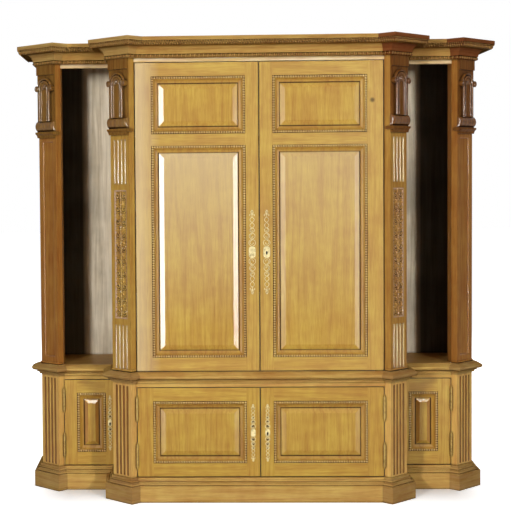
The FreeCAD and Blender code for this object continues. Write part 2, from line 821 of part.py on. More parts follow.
def door_frame(name, door, fitting):
    """Grooved stiles and stub-tenoned rails; the meeting stile takes a lock or a strike."""
    groove_front = door.face_y + dim.groove_back
    groove_rear = groove_front + dim.groove_width
    stile_edges = ((door.hinge_x, door.panel_left), (door.panel_right, door.free_x))
    groove_edges = (
        (door.panel_left - dim.groove_depth, door.panel_left),
        (door.panel_right, door.panel_right + dim.groove_depth),
    )
    members = []
    for side, edges, groove in zip(("hinge", "meeting"), stile_edges, groove_edges):
        stile = box(f"{name}_{side}_stile", (edges[0], door.face_y, door.bottom),
                    (edges[1], door.back_y, door.top))
        tools = [box(f"{name}_{side}_groove", (groove[0], groove_front, door.bottom),
                     (groove[1], groove_rear, door.top))]
        if side == "meeting" and fitting == "lock":
            tools.append(lock_space(f"{name}_mortise", door))
            tools.append(key_hole(f"{name}_key_hole", door, door.face_y, door.back_y - dim.lock_depth))
        if side == "meeting" and fitting == "strike":
            tools.append(bolt_space(f"{name}_strike", door, door.free_x - dim.strike_depth, door.free_x,
                                    dim.strike_clearance))
        if side == "hinge" and door is DOORS["upper"]:
            tools += [pivot_hole(f"{name}_{level}", door, level) for level in ("bottom", "top")]
        members.append(cut(f"{name}_{side}", stile, tools))
    last = len(door.rail_bands) - 1
    for index, (bottom, top) in enumerate(door.rail_bands):
        rail = box(f"{name}_rail_{index}", (door.panel_left, door.face_y, bottom),
                   (door.panel_right, door.back_y, top))
        tenon = box(f"{name}_tenon_{index}", (door.panel_left - dim.groove_depth, groove_front, bottom),
                    (door.panel_right + dim.groove_depth, groove_rear, top))
        grooves = []
        if index > 0:
            grooves.append((bottom, bottom + dim.groove_depth))
        if index < last:
            grooves.append((top - dim.groove_depth, top))
        tools = [
            box(f"{name}_rail_groove_{index}_{count}",
                (door.panel_left - dim.groove_depth, groove_front, low),
                (door.panel_right + dim.groove_depth, groove_rear, high))
            for count, (low, high) in enumerate(grooves)
        ]
        whole = fused(f"{name}_rail_{index}_whole", [rail, tenon])
        members.append(cut(f"{name}_rail_{index}_grooved", whole, tools))
    return group(f"{name}_frame", members)


def panel_openings(door):
    """The clear openings between the rails, as (bottom, top)."""
    bands = door.rail_bands
    return [(lower[1], upper[0]) for lower, upper in zip(bands, bands[1:])]


def door_panels(name, door):
    """Fielded panels: a board held in the grooves, with a bevel that rises to a flat field."""
    front = door.face_y + dim.groove_back
    tongue = dim.groove_depth - dim.panel_play
    margin = dim.panel_moulding
    members = []
    for index, (bottom, top) in enumerate(panel_openings(door)):
        board = box(f"{name}_board_{index}", (door.panel_left - tongue, front, bottom - tongue),
                    (door.panel_right + tongue, front + dim.groove_width, top + tongue))
        raised = doc.addObject("Part::Wedge", f"{name}_raised_{index}")
        width = door.panel_right - door.panel_left - 2 * margin
        height = top - bottom - 2 * margin
        limits = {
            "Ymin": 0, "Ymax": front - door.face_y - dim.field_back,
            "Xmin": door.bevel, "Xmax": width - door.bevel, "Zmin": door.bevel, "Zmax": height - door.bevel,
            "X2min": 0, "X2max": width, "Z2min": 0, "Z2max": height,
        }
        for path, size in limits.items():
            bind(raised, path, size)
        place(raised, (door.panel_left + margin, door.face_y + dim.field_back, bottom + margin))
        members.append(fused(f"{name}_panel_{index}", [board, raised]))
    return group(f"{name}_panels", members)


def door_mouldings(name, door):
    """Planted mouldings round each panel, in four mitred lengths: a bead's seat, a fillet and a hollow."""
    seat = -dim.groove_back
    lip = seat + dim.panel_bead_rise
    hollow_start = dim.panel_bead + dim.panel_bead_rise
    profile = [
        (0, seat),
        (dim.panel_moulding, seat),
        (dim.panel_moulding, lip),
        (dim.panel_moulding - dim.panel_bead_rise, lip, -dim.panel_hollow),
        (hollow_start, dim.panel_bead_rise),
        (dim.panel_bead, dim.panel_bead_rise),
        (dim.panel_bead, dim.panel_bead_seat),
        (0, dim.panel_bead_seat),
    ]
    upright = Rotation(Vector(1, 0, 0), 90)
    members = []
    for index, (bottom, top) in enumerate(panel_openings(door)):
        width = door.panel_right - door.panel_left
        height = top - bottom
        sides = [
            ("bottom", (door.panel_left, bottom), width, 0),
            ("right", (door.panel_right, bottom), height, 90),
            ("top", (door.panel_right, top), width, 180),
            ("left", (door.panel_left, top), height, 270),
        ]
        for side, (x, z), length, angle in sides:
            turn = upright.multiply(Rotation(Vector(0, 0, 1), angle))
            members.append(mitred_length(
                f"{name}_{side}_{index}", (x, door.face_y, z), turn, length, profile,
                dim.panel_moulding, -QUARTER_TURN, -QUARTER_TURN))
    return group(f"{name}_mouldings", members)


def hinge_axis(door):
    """The line that a butt-hinged door turns on: in the gap, proud of the face."""
    return door.jamb_x + dim.door_gap / 2, door.face_y - dim.knuckle_radius - dim.knuckle_clear


def hinge_heights(door):
    """The middle height of each of a door's two butt hinges."""
    return [door.bottom + dim.hinge_inset, door.top - dim.hinge_inset]


def butt_leaf(name, door, middle, on_door):
    """A hinge leaf: the door's has the middle knuckle, the post's has the two end ones."""
    axis_x, axis_y = hinge_axis(door)
    low = middle - dim.hinge_length / 2
    third = dim.hinge_length / 3
    play = dim.knuckle_play / 2
    plate_x = door.hinge_x - dim.leaf_thickness if on_door else door.jamb_x
    plate_front = axis_y + dim.knuckle_radius + dim.knuckle_clear / 2
    members = [box(f"{name}_plate", (plate_x, plate_front, low),
                   (plate_x + dim.leaf_thickness, axis_y + dim.leaf_width, low + dim.hinge_length))]
    bands = [(low + third + play, low + third * 2 - play)] if on_door else [
        (low, low + third - play), (low + third * 2 + play, low + dim.hinge_length)]
    for index, (bottom, top) in enumerate(bands):
        members.append(cylinder(f"{name}_knuckle_{index}", (axis_x, axis_y, bottom), dim.knuckle_radius,
                                top - bottom))
        members.append(box(f"{name}_tab_{index}", (plate_x, axis_y, bottom),
                           (plate_x + dim.leaf_thickness, plate_front, top)))
    bore = dim.pin_radius + dim.pin_clearance if on_door else dim.pin_radius
    hole = cylinder(f"{name}_bore", (axis_x, axis_y, low), bore, dim.hinge_length)
    return cut(f"{name}_bored", fused(name, members), [hole])


def hinge_pin(name, door, middle):
    """A hinge pin with a pointed finial over each end knuckle."""
    axis_x, axis_y = hinge_axis(door)
    low = middle - dim.hinge_length / 2
    members = [cylinder(f"{name}_shank", (axis_x, axis_y, low), dim.pin_radius, dim.hinge_length)]
    ends = (("lower", low, Rotation(Vector(1, 0, 0), 180)), ("upper", low + dim.hinge_length, Rotation()))
    for end, level, turn in ends:
        finial = doc.addObject("Part::Cone", f"{name}_{end}_finial")
        bind(finial, "Radius1", dim.finial_foot_radius)
        bind(finial, "Radius2", dim.finial_tip_radius)
        bind(finial, "Height", dim.finial_length)
        place(finial, (axis_x, axis_y, level), turn)
        members.append(finial)
    return fused(name, members)


def pivot_axis(door):
    """The line that an upper door turns on: inside its hinge stile, close to the face."""
    return door.hinge_x + dim.pivot_inset, door.face_y + dim.pivot_depth


def pivot_hole(name, door, level):
    """The hole in the hinge stile round a pivot pin."""
    axis_x, axis_y = pivot_axis(door)
    depth = dim.pivot_pin_length + dim.pivot_hole_clearance
    start = door.bottom if level == "bottom" else door.top - depth
    radius = dim.pivot_radius + dim.pivot_hole_clearance
    return cylinder(f"{name}_pivot_hole", (axis_x, axis_y, start), radius, depth)


def pivot_plate(name, door, bottom, top):
    """A brass strip along the end of the hinge stile, over the pivot."""
    axis_x, axis_y = pivot_axis(door)
    start_x = axis_x - dim.pivot_inset / 2 - dim.pivot_radius
    half = dim.pivot_plate_width / 2
    return box(name, (start_x, axis_y - half, bottom),
               (start_x + dim.pivot_plate_length, axis_y + half, top))


def door_pivot(name, door, level):
    """A fixed plate with its pin, on the deck or under the frieze."""
    axis_x, axis_y = pivot_axis(door)
    if level == "bottom":
        plate = pivot_plate(f"{name}_plate", door, dim.waist_top, dim.waist_top + dim.pivot_plate)
        start, end = dim.waist_top, door.bottom + dim.pivot_pin_length
    else:
        plate = pivot_plate(f"{name}_plate", door, frieze_bottom - dim.pivot_plate, frieze_bottom)
        start, end = door.top - dim.pivot_pin_length, frieze_bottom
    pin = cylinder(f"{name}_pin", (axis_x, axis_y, start), dim.pivot_radius, end - start)
    return fused(name, [plate, pin])


def door_pivot_plates(name, door):
    """The bored plates on the two ends of an upper door's hinge stile."""
    axis_x, axis_y = pivot_axis(door)
    members = []
    bands = ((door.bottom - dim.pivot_plate, door.bottom), (door.top, door.top + dim.pivot_plate))
    for level, (bottom, top) in zip(("bottom", "top"), bands):
        plate = pivot_plate(f"{name}_{level}_plate", door, bottom, top)
        radius = dim.pivot_radius + dim.pin_clearance
        hole = cylinder(f"{name}_{level}_bore", (axis_x, axis_y, bottom), radius, top - bottom)
        members.append(cut(f"{name}_{level}", plate, [hole]))
    return group(f"{name}_pivot_plates", members)


def escutcheon(name, door, half_length, open_key_hole):
    """A long fretted plate: a round key plate, a bar with scroll bosses and two end finials."""
    centre_x = door.free_x - door.backset
    back = door.face_y
    front = back - dim.escutcheon_thickness
    half_bar = dim.escutcheon_bar / 2
    members = [box(f"{name}_bar", (centre_x - half_bar, front, door.key_height - half_length),
                   (centre_x + half_bar, back, door.key_height + half_length))]
    boss_rise = half_length * BOSS_SHARE
    discs = [
        (0, dim.escutcheon_plate),
        (boss_rise, dim.escutcheon_scroll), (-boss_rise, dim.escutcheon_scroll),
        (half_length, dim.escutcheon_finial), (-half_length, dim.escutcheon_finial),
    ]
    for index, (rise, radius) in enumerate(discs):
        members.append(cylinder(f"{name}_disc_{index}", (centre_x, front, door.key_height + rise), radius,
                                dim.escutcheon_thickness, Rotation(Vector(1, 0, 0), -90)))
    plate = fused(name, members)
    if not open_key_hole:
        return plate
    return cut(f"{name}_pierced", plate, [key_hole(f"{name}_key_hole", door, front, back)])


def lock_case(name, door):
    """The lock's case, flush in its mortise, with a slot for the bolt and a hole for the key."""
    case = lock_space(f"{name}_case", door)
    slot = bolt_space(f"{name}_slot", door, door.free_x - dim.bolt_length - dim.bolt_setback, door.free_x,
                      dim.bolt_clearance)
    return cut(name, case, [slot])


def lock_bolt(name, door):
    """The bolt, drawn back inside the door's edge."""
    end = door.free_x - dim.bolt_setback
    return bolt_space(name, door, end - dim.bolt_length + dim.bolt_clearance, end, 0)


def make_doors():
    """The six doors, each with its frame, panels, mouldings, hinges, escutcheon and lock."""
    for stage, door in DOORS.items():
        panels = door_panels(stage, door)
        mouldings = door_mouldings(stage, door)
        locked = door_frame(f"{stage}_locked", door, "lock")
        if stage == "side":
            left_frame = locked
        else:
            left_frame = door_frame(f"{stage}_struck", door, "strike")
        half_length = dim.upper_escutcheon_half if stage == "upper" else dim.lower_escutcheon_half
        pierced = escutcheon(f"{stage}_escutcheon", door, half_length, True)
        left_escutcheon = pierced
        if stage != "side":
            left_escutcheon = escutcheon(f"{stage}_blind", door, half_length, False)
        if stage == "upper":
            hinges = door_pivot_plates(stage, door)
        else:
            leaves = [butt_leaf(f"{stage}_door_leaf_{index}", door, middle, True)
                      for index, middle in enumerate(hinge_heights(door))]
            hinges = group(f"{stage}_hinges", leaves)
        case = lock_case(f"{stage}_lock_case", door)
        bolt = lock_bolt(f"{stage}_lock_bolt", door)
        for side, frame, plate in (("left", left_frame, left_escutcheon), ("right", locked, pierced)):
            pieces = {"frame": frame, "panels": panels, "mouldings": mouldings,
                      "hinges": hinges, "escutcheon": plate}
            if side == "right" or stage == "side":
                pieces |= {"lock": case, "bolt": bolt}
            for word, piece in pieces.items():
                alone = piece if side == "left" else mirrored(piece)
                node(f"{stage}_{side}_{word}", alone)


def make_fixed_hinges():
    """Butt leaves and pins on the posts, and the pivots of the upper doors."""
    leaves, pivots = [], []
    for stage in ("lower", "side"):
        door = DOORS[stage]
        for index, middle in enumerate(hinge_heights(door)):
            leaves.append(butt_leaf(f"{stage}_post_leaf_{index}", door, middle, False))
            leaves.append(hinge_pin(f"{stage}_pin_{index}", door, middle))
    for level in ("bottom", "top"):
        pivots.append(door_pivot(f"pivot_{level}", DOORS["upper"], level))
    node("post_hinges", group("post_hinges", leaves + [mirrored(leaf) for leaf in leaves]))
    node("door_pivots", group("door_pivots", pivots + [mirrored(pivot) for pivot in pivots]))


def check_document():
    """Stop if any object failed or any sub-part's shape is empty or not valid."""
    for thing in doc.Objects:
        if {"Invalid", "Error"} & set(thing.State):
            raise RuntimeError(f"{thing.Name} failed: {thing.State}")
    for thing in nodes:
        if thing.Shape.isNull() or not thing.Shape.isValid() or not thing.Shape.Solids:
            raise RuntimeError(f"{thing.Label} has no valid solid")


def write_parts():
    """One STEP file for each sub-part, named for it."""
    os.makedirs("parts", exist_ok=True)
    for thing in nodes:
        thing.Shape.exportStep(f"parts/{thing.Label}.step")
        print(f"{thing.Label}: {len(thing.Shape.Solids)} solids, {thing.Shape.Volume / 1000:.1f} cm3")


make_plinth()
make_surbase()
make_cornice()
make_boards()
make_posts()
make_corbels()
make_doors()
make_fixed_hinges()
doc.recompute()
check_document()
write_parts()
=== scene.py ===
"""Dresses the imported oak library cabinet: carving, beads, brass frets, finishes, light and camera."""

import json
import math

import bpy
import numpy as np
from bpy.props import FloatProperty, FloatVectorProperty, IntProperty, PointerProperty
from mathutils import Matrix, Vector

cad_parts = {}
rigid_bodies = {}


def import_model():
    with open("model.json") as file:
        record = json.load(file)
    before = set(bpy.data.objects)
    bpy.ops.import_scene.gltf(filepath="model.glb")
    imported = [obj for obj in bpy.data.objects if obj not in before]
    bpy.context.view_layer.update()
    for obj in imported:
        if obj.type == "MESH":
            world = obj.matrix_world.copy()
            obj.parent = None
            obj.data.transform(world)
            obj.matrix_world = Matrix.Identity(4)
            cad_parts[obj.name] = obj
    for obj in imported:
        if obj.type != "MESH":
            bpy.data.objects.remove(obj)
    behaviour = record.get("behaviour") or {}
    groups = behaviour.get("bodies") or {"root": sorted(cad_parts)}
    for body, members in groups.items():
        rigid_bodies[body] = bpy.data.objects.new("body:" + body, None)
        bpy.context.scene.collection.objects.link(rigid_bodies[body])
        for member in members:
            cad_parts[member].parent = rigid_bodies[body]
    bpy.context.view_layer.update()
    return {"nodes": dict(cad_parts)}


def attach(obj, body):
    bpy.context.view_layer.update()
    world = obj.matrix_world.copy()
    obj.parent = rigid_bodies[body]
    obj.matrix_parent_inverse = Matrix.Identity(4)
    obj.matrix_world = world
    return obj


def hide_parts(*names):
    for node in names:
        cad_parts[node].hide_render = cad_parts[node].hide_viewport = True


bl_info = {
    "name": "Oak library cabinet",
    "version": (1, 0, 0),
    "blender": (4, 5, 0),
    "location": "View3D > Sidebar > Cabinet",
    "description": "Carving, brass and finishes for a breakfront oak library cabinet",
    "category": "Object",
}

for leftover in list(bpy.data.objects):
    bpy.data.objects.remove(leftover)
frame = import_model()

MM = 0.001
MILLIMETRES = 1000
HALF_TURN = math.pi
FULL_TURN = 2 * math.pi
SHARP_ANGLE = math.radians(50)

# Plan of the left half in millimetres, from the back of the side to the centre doors
BACK_CORNER = (-1172, 471.78)
OUTER_EDGE = (-1172, 87.78)
OUTER_TIP = (-1072, -12.22)
OUTER_JAMB = (-1046, 13.78)
RECESS_CORNER = (-768, 13.78)
INNER_EDGE = (-768, -216.22)
INNER_TIP = (-668, -316.22)
INNER_JAMB = (-642, -290.22)
LEFT_PLAN = np.array([BACK_CORNER, OUTER_EDGE, OUTER_TIP, OUTER_JAMB, RECESS_CORNER,
                      INNER_EDGE, INNER_TIP, INNER_JAMB])
WHOLE_PLAN = np.concatenate([LEFT_PLAN, LEFT_PLAN[::-1] * (-1, 1)])
CENTRE_FACE = -290.22
RECESS_FACE = 13.78
BACK_INSIDE = 460

# Levels and post sizes in millimetres
CARVED_BANDS = ((2300, 2318), (2357, 2381))
POST_WIDTH = 100 * math.sqrt(2)
POST_MIDDLE = POST_WIDTH / 2
PANEL_MARGIN = 24
PANEL_SINK = 7
PLAIN_PANEL = (716, 1890)
CARVED_PANEL = (952, 1622)
EDGE_WIDTH = 9
EDGE_LIP = 0.6
EDGE_SEAT = 0.5
WAIST_TOP = 676
FOOT_HALF = 7
FOOT_STOP = 0.8
FLUTE_RADIUS = 7
FLUTE_DEPTH = 6
FLUTE_PITCH = 27
FLUTE_COUNT = 4
FLUTE_LIFT = 0.3
FLUTE_SHARE = 0.95
BASE_FLUTES = (134, 604)
FOOT_FLUTES = (688, 920)
HEAD_FLUTES = (1652, 1884)

# Corbels in millimetres: gadroon, hood, tablet with its ribs and petals, and volutes
GADROON = (1943, 1995)
GADROON_SEAT = 9
GADROON_BULGE = 19
GADROON_DIP = 0.14
GADROON_LAP = 3
GADROON_ROUND = 8
HOOD_FACE = 15
HOOD_RADIUS = 58
HOOD_RIM = (6, 9)
HOOD_ARC = (0.92 * HALF_TURN, 0.08 * HALF_TURN)
TABLET_FACE = 20
TABLET_HALF = 43
TABLET_SPRING = 2172
RIB_FOOT = 2
TABLET_RIBS = ((5, 1), (20, 0.75))
PETAL_HALF = (13, 4.6, 5.5)
PETAL_ANGLES = np.radians(np.linspace(8, 172, 7))
PETAL_DROP = 6
PETAL_REACH = 17
VOLUTE_FACE = 28
VOLUTE_RADII = (13.6, 4.0)
VOLUTE_TURNS = 2.1
VOLUTE_REACH = 55
VOLUTE_RIB = (2.3, 2.6)
VOLUTE_EYE = 4.2

# Vine in millimetres; each leaf's distance across, share of a tier's height and turn
SCROLL_RADII = (19, 4)
SCROLL_MIDDLE = 23
SCROLL_TURNS = 1.6
STEM_HALF = 3.6
STEM_SHARE = 0.8
LEAF_HALF = (9, 4.2)
VINE_LEAVES = ((39, 0.12, 0.7), (39, 0.88, -0.7), (11, 0.93, -0.9), (12, 0.06, 0.8), (42, 0.5, 1.5))
ROSETTE_RADIUS = 9
ROSETTE_PETALS = 6
VINE_LIFT = 0.4

# Cornice beads: half sizes, distance out from the plan and level
ROPE_BEAD = ((10, 7.6, 8), 24, 2309)
EGG = ((5.2, 11, 7), 95.5, 2364.5)
EGG_TIP = ((4.6, 4.8, 4.8), 105, 2377)
ROPE_LEAN = math.radians(28)
EGG_SLOPE = math.atan2(22, 23)

# Ruled beads: distance out from the plan, level and radius
PLINTH_BEADS = ((29.5, 91.5, 5), (15.5, 108.5, 4.5))
SURBASE_BEADS = ((21.8, 635.5, 4), (14, 674.5, 3.5))

# Each door: face, the panel's left and right edges on the left-hand door, and its openings in height
DOOR_OPENINGS = {
    "upper": (CENTRE_FACE, (-553, -71.5), ((752, 1847), (1911, 2203))),
    "lower": (CENTRE_FACE, (-554, -71.5), ((200, 520),)),
    "side": (RECESS_FACE, (-972, -820), ((200, 520),)),
}
PANEL_BACK = 12
BEAD_LINE = 5
BEAD_SEAT = 1.6
BEAD_GROUND = 0.5
QUIRK_HALF = 1.8
QUIRK_LINES = ((0, 0.5), (34.2, -PANEL_BACK + 3))

# Each escutcheon: face, middle in x on the left-hand door, key height, half length and share of full width
ESCUTCHEONS = {
    "upper": (CENTRE_FACE, -37.5, 1296, 218, 1.0),
    "lower": (CENTRE_FACE, -37.5, 356, 150, 0.7),
    "side": (RECESS_FACE, -796, 356, 150, 0.6),
}

# Brass frets in millimetres: rings by middle and radius, eyes, pins, stems and key plate
FULL_FRET = 218
FRET_RINGS = ((48, 17), (83, 14.5), (113, 11.5))
EYE_SHARE = 0.62
PIN_REACH = 23
PIN_LEVEL = 1.2
PIN_HEAD = (2.2, 2.2, 1.6)
FRET_HEIGHT = 1.6
STEM_LEVELS = (123, 182)
STEM_SWING = 11
STEM_HALF_WAVE = 29.5
KEY_PLATE = (17.5, 29, 1.8)
KEY_EYE = 4.4
KEY_SLOT = 15.0
KEY_HOLE = (5.2, 10.5, 1.2)
KEY_HOLE_PLACE = (0, -5.3, 0.2)

# Grain: how much a pattern is stretched along X, Y and Z
UPRIGHT_GRAIN = (1, 1, 0.05)
LEVEL_GRAIN = (0.05, 0.05, 1)
PLANK_GRAIN = (0.05, 1, 1)

# Finishes: woods with a pale and a dark tone, then shares of tone and of wax with painted shade, and places
# in millimetres
WOODS = ("post", "outer", "cornice", "rail", "block", "turned", "corbel", "flute", "base", "bead")
WAX_IOR = 1.48
COAT_ROUGHNESS = 0.14
STREAK_RED = 0.55
BAND_SHADE = 0.3
SEAM_SHADE = 0.75
GROUND_SHADE = 0.2
SEAM_HALF = 3.6
GROUND_HALF = 0.4
DOOR_SEAMS = (0, 640)
BACK_BOARD = 134.67
SHADOW_EDGE = (937, 965)
SHEEN_EDGE = 50

# Painted sheen on the upper doors: the levels between which it grows, its most, its middle in x and its
# share to the right
PANEL_SHEEN = (900, 1850, 0.42, 0, 0.6)
STILE_SHEEN = (-9000, 2400, 0.42, -560, 0.1)


def linear(code):
    """An sRGB hex colour as linear red, green, blue and alpha."""
    parts = np.array([int(code[i:i + 2], 16) for i in (1, 3, 5)]) / 255
    curve = np.where(parts <= 0.04045, parts / 12.92, ((parts + 0.055) / 1.055) ** 2.4)
    return (*curve.tolist(), 1.0)


def colour(name, description, code):
    """A colour that a user can change."""
    return FloatVectorProperty(name=name, description=description, subtype="COLOR", size=4,
                               min=0, max=1, default=linear(code))


def length(name, description, millimetres):
    """A length that a user can change."""
    return FloatProperty(name=name, description=description, unit="LENGTH", min=0,
                         default=millimetres * MM)


class CabinetSizes(bpy.types.PropertyGroup):
    """Sizes of the carving and the brass."""

    bead_pitch: length("Panel bead pitch", "Distance between the beads round a door panel", 12.7)
    bead_radius: length("Panel bead radius", "Half the width of a panel bead", 5.3)
    rope_pitch: length("Rope bead pitch", "Distance between the slanted beads under the cornice", 22.5)
    egg_pitch: length("Egg pitch", "Distance between the eggs of the cornice", 13)
    rib_radius: length("Tablet rib", "Half the width of the rib round a corbel's tablet", 5.5)
    relief: length("Vine relief", "Height of the carved vine on the inner posts", 7.5)
    fret_wire: length("Fret width", "Half the width of the scrolls of a brass escutcheon", 1.6)
    gadroon_lobes: IntProperty(name="Gadroon lobes", description="Lobes across a corbel", default=5, min=1)
    vine_tiers: IntProperty(name="Vine tiers", description="Scroll pairs up a post", default=10, min=1)


class CabinetFinishes(bpy.types.PropertyGroup):
    """Colours of the finishes."""

    honey: colour("Honey oak", "Pale early wood of the doors", "#caa549")
    amber: colour("Amber oak", "Darker late wood of the doors", "#b98e36")
    post_pale: colour("Post oak", "Pale early wood of the posts", "#c9a04b")
    post_dark: colour("Post figure", "Darker late wood of the posts", "#ad8337")
    outer_pale: colour("Outer post oak", "Pale early wood of the outer posts", "#b27d3a")
    outer_dark: colour("Outer post figure", "Darker late wood of the outer posts", "#945f25")
    cornice_pale: colour("Cornice oak", "Pale early wood of the cornice", "#c39b56")
    cornice_dark: colour("Cornice figure", "Darker late wood of the cornice", "#a37c3e")
    rail_pale: colour("Rail oak", "Pale early wood of the plinth, surbase and rails", "#d8b268")
    rail_dark: colour("Rail figure", "Darker late wood of the plinth, surbase and rails", "#c2984c")
    # Painted light and shade: tones of faces of the plinth and surbase that look out at an angle
    block_pale: colour("Block oak", "Pale wood where the plinth breaks round the posts", "#c29d63")
    block_dark: colour("Block figure", "Darker wood where the plinth breaks round the posts", "#b38c48")
    # Painted light and shade: tones of faces of the cornice that look out at an angle
    turned_pale: colour("Turned oak", "Pale wood where the cornice breaks round the posts", "#cba765")
    turned_dark: colour("Turned figure", "Darker wood where the cornice breaks round the posts", "#a68547")
    corbel_pale: colour("Corbel oak", "Pale early wood of the corbels", "#9c7233")
    corbel_dark: colour("Corbel figure", "Darker late wood of the corbels", "#6c4b1f")
    # Painted shade: darker tones for the hollows of the base flutes
    flute_pale: colour("Flute oak", "Pale wood in the flutes of the base", "#b07c3a")
    flute_dark: colour("Flute figure", "Darker wood in the flutes of the base", "#8a5e2a")
    base_pale: colour("Base post oak", "Pale early wood of the posts of the base", "#eec370")
    base_dark: colour("Base post figure", "Darker late wood of the posts of the base", "#d6a756")
    # Painted highlight: pale tones of the panel beads and the upper flutes; the darker one is also the
    # frieze's dark tone
    bead_pale: colour("Bead oak", "Pale rubbed wood of the panel beads", "#e6cb8c")
    bead_dark: colour("Bead figure", "Darker rubbed wood of the panel beads", "#d2ac5c")
    # Painted shade with old wax: the dark lines round the panels
    groove_shade: colour("Groove dirt", "Brown wax packed in the grooves round the panels", "#4a3014")
    # Painted shadow: near-black for the key holes, the boards behind the outer posts and the inner faces of
    # the ends
    shadow_black: colour("Soot", "Black dust in the key holes and behind the outer posts", "#15151a")
    # Painted sheen: the pale tone of the sheen on the upper doors, also used as the frieze's pale tone
    pale_sheen: colour("Bloom", "Bleached wood where the sun has caught the doors", "#ead9b6")
    # Old wax with painted shade in corners, carving and sunk grounds; also the tone of knots
    dark_wax_and_shade: colour("Old wax", "Dark wax left in the corners and the carving", "#1c1008")
    board_pale: colour("Back board", "Dry unwaxed wood of the back boards", "#f6ebd4")
    board_dark: colour("Back board figure", "Darker streaks of the back boards", "#c8b798")
    brass: colour("Brass", "Polished brass", "#e8d9a4")
    worn_brass: colour("Worn brass", "Handled brass of the hinges", "#bfa566")
    tarnish: colour("Tarnish", "Brown tarnish on the brass", "#7a5f30")


class CabinetScene(bpy.types.PropertyGroup):
    """All settings of the cabinet."""

    sizes: PointerProperty(type=CabinetSizes)
    finishes: PointerProperty(type=CabinetFinishes)


def sizes_of(context):
    """The carving sizes in millimetres, by name."""
    group = context.scene.library_cabinet.sizes
    lengths = {name: getattr(group, name) for name in group.__annotations__}
    return {name: value if isinstance(value, int) else value / MM for name, value in lengths.items()}


def grid_faces(rows, columns, close_rows=False, close_columns=False):
    """Triangles of a grid whose points are numbered row by row; the front is columns cross rows."""
    row, column = np.meshgrid(np.arange(rows if close_rows else rows - 1),
                              np.arange(columns if close_columns else columns - 1), indexing="ij")
    next_row, next_column = (row + 1) % rows, (column + 1) % columns
    corner = row * columns + column
    beside = row * columns + next_column
    across = next_row * columns + next_column
    above = next_row * columns + column
    halves = [np.stack([corner, beside, across], -1), np.stack([corner, across, above], -1)]
    return np.concatenate([half.reshape(-1, 3) for half in halves])


def fan(middle, ring):
    """Triangles from one point to a closed ring of points."""
    return np.stack([np.full(len(ring), middle), ring, np.roll(ring, -1)], -1)


def ball(across, along, out, segments=8, rings=3):
    """A closed ellipsoid: (a cos v cos u, b cos v sin u, c sin v) over longitude u and latitude v."""
    turn = np.linspace(0, FULL_TURN, segments, endpoint=False)
    rise = np.linspace(-HALF_TURN / 2, HALF_TURN / 2, rings + 2)[1:-1]
    rise, turn = np.meshgrid(rise, turn, indexing="ij")
    body = np.stack([across * np.cos(rise) * np.cos(turn), along * np.cos(rise) * np.sin(turn),
                     out * np.sin(rise)], -1).reshape(-1, 3)
    poles = np.array([[0, 0, -out], [0, 0, out]])
    low, high = len(body), len(body) + 1
    first = np.arange(segments)
    faces = [grid_faces(rings, segments, close_columns=True), fan(low, first[::-1]),
             fan(high, first + segments * (rings - 1))]
    return np.concatenate([body, poles]), np.concatenate(faces)


def repeat(shape, origins, axes):
    """Copies of one shape: point = origin + x * first axis + y * second axis + z * third axis."""
    points, faces = shape
    placed = origins[:, None] + np.einsum("pk,nkc->npc", points, axes)
    shifts = np.arange(len(origins)) * len(points)
    return placed.reshape(-1, 3), (faces[None] + shifts[:, None, None]).reshape(-1, 3)


def sweep(path, side, out, section, closed=False):
    """A closed section carried along a path: point = path + s * side + t * out, with capped ends."""
    points = path[:, None] + section[None, :, :1] * side[:, None] + section[None, :, 1:] * out[:, None]
    rows, columns = points.shape[:2]
    faces = [grid_faces(rows, columns, close_rows=closed, close_columns=True)]
    points = points.reshape(-1, 3)
    if not closed:
        ring = np.arange(columns)
        faces += [fan(len(points), ring[::-1]), fan(len(points) + 1, ring + columns * (rows - 1))]
        points = np.concatenate([points, path[[0, -1]]])
    return points, np.concatenate(faces)


def half_round(radius, height, seat=1.0, steps=5):
    """A half-round section, s = r cos a and t = h sin a, with its flat sunk a little into the seat."""
    angle = np.linspace(0, HALF_TURN, steps)
    arc = np.stack([radius * np.cos(angle), height * np.sin(angle)], -1)
    return np.concatenate([arc, [[-radius, -seat], [radius, -seat]]])


def stroke(line, face, section, closed=False):
    """A section carried along a flat line; face turns (x, z, out) of the flat into the cabinet's axes."""
    tangent = np.roll(line, -1, 0) - np.roll(line, 1, 0) if closed else np.gradient(line, axis=0)
    tangent /= np.linalg.norm(tangent, axis=1, keepdims=True)
    side = np.stack([tangent[:, 1], -tangent[:, 0], np.zeros(len(line))], -1)
    flat = np.concatenate([line, np.zeros((len(line), 1))], 1)
    out = np.tile([0.0, 0.0, 1.0], (len(line), 1))
    points, faces = sweep(flat, side, out, section, closed)
    return on_face(points, face), faces


def on_face(points, face):
    """Turn (x, z, out) on a flat face into space: origin + x * along + z * up + out * normal."""
    origin, along, normal = face
    up = np.array([0.0, 0.0, 1.0])
    return origin + points[:, :1] * along + points[:, 1:2] * up + points[:, 2:] * normal


def mirrored(part):
    """The right-hand twin of a left-hand part, with its faces turned back outwards."""
    points, faces = part
    return points * (-1, 1, 1), faces[:, ::-1]


def both_sides(parts):
    """The left-hand parts as they are, and their right-hand twins."""
    return ("left", parts), ("right", [mirrored(part) for part in parts])


def laid(part, face, shift=(0, 0, 0)):
    """A part given as (x, z, out) and shifted there, laid on a flat face."""
    points, faces = part
    return on_face(points + shift, face), faces


def raised(face, level):
    """A flat face brought out to a level."""
    origin, along, normal = face
    return origin + level * normal, along, normal


def post_face(edge):
    """The canted face of a left-hand post: from its outer edge towards its tip, facing out to the left."""
    slant = math.sqrt(0.5)
    return np.array([*edge, 0.0]), np.array([slant, -slant, 0]), np.array([-slant, -slant, 0])


def front_face(middle_x, face_y, middle_z):
    """A flat face that looks to the front, centred on a point."""
    return np.array([middle_x, face_y, middle_z]), np.array([1.0, 0, 0]), np.array([0, -1.0, 0])


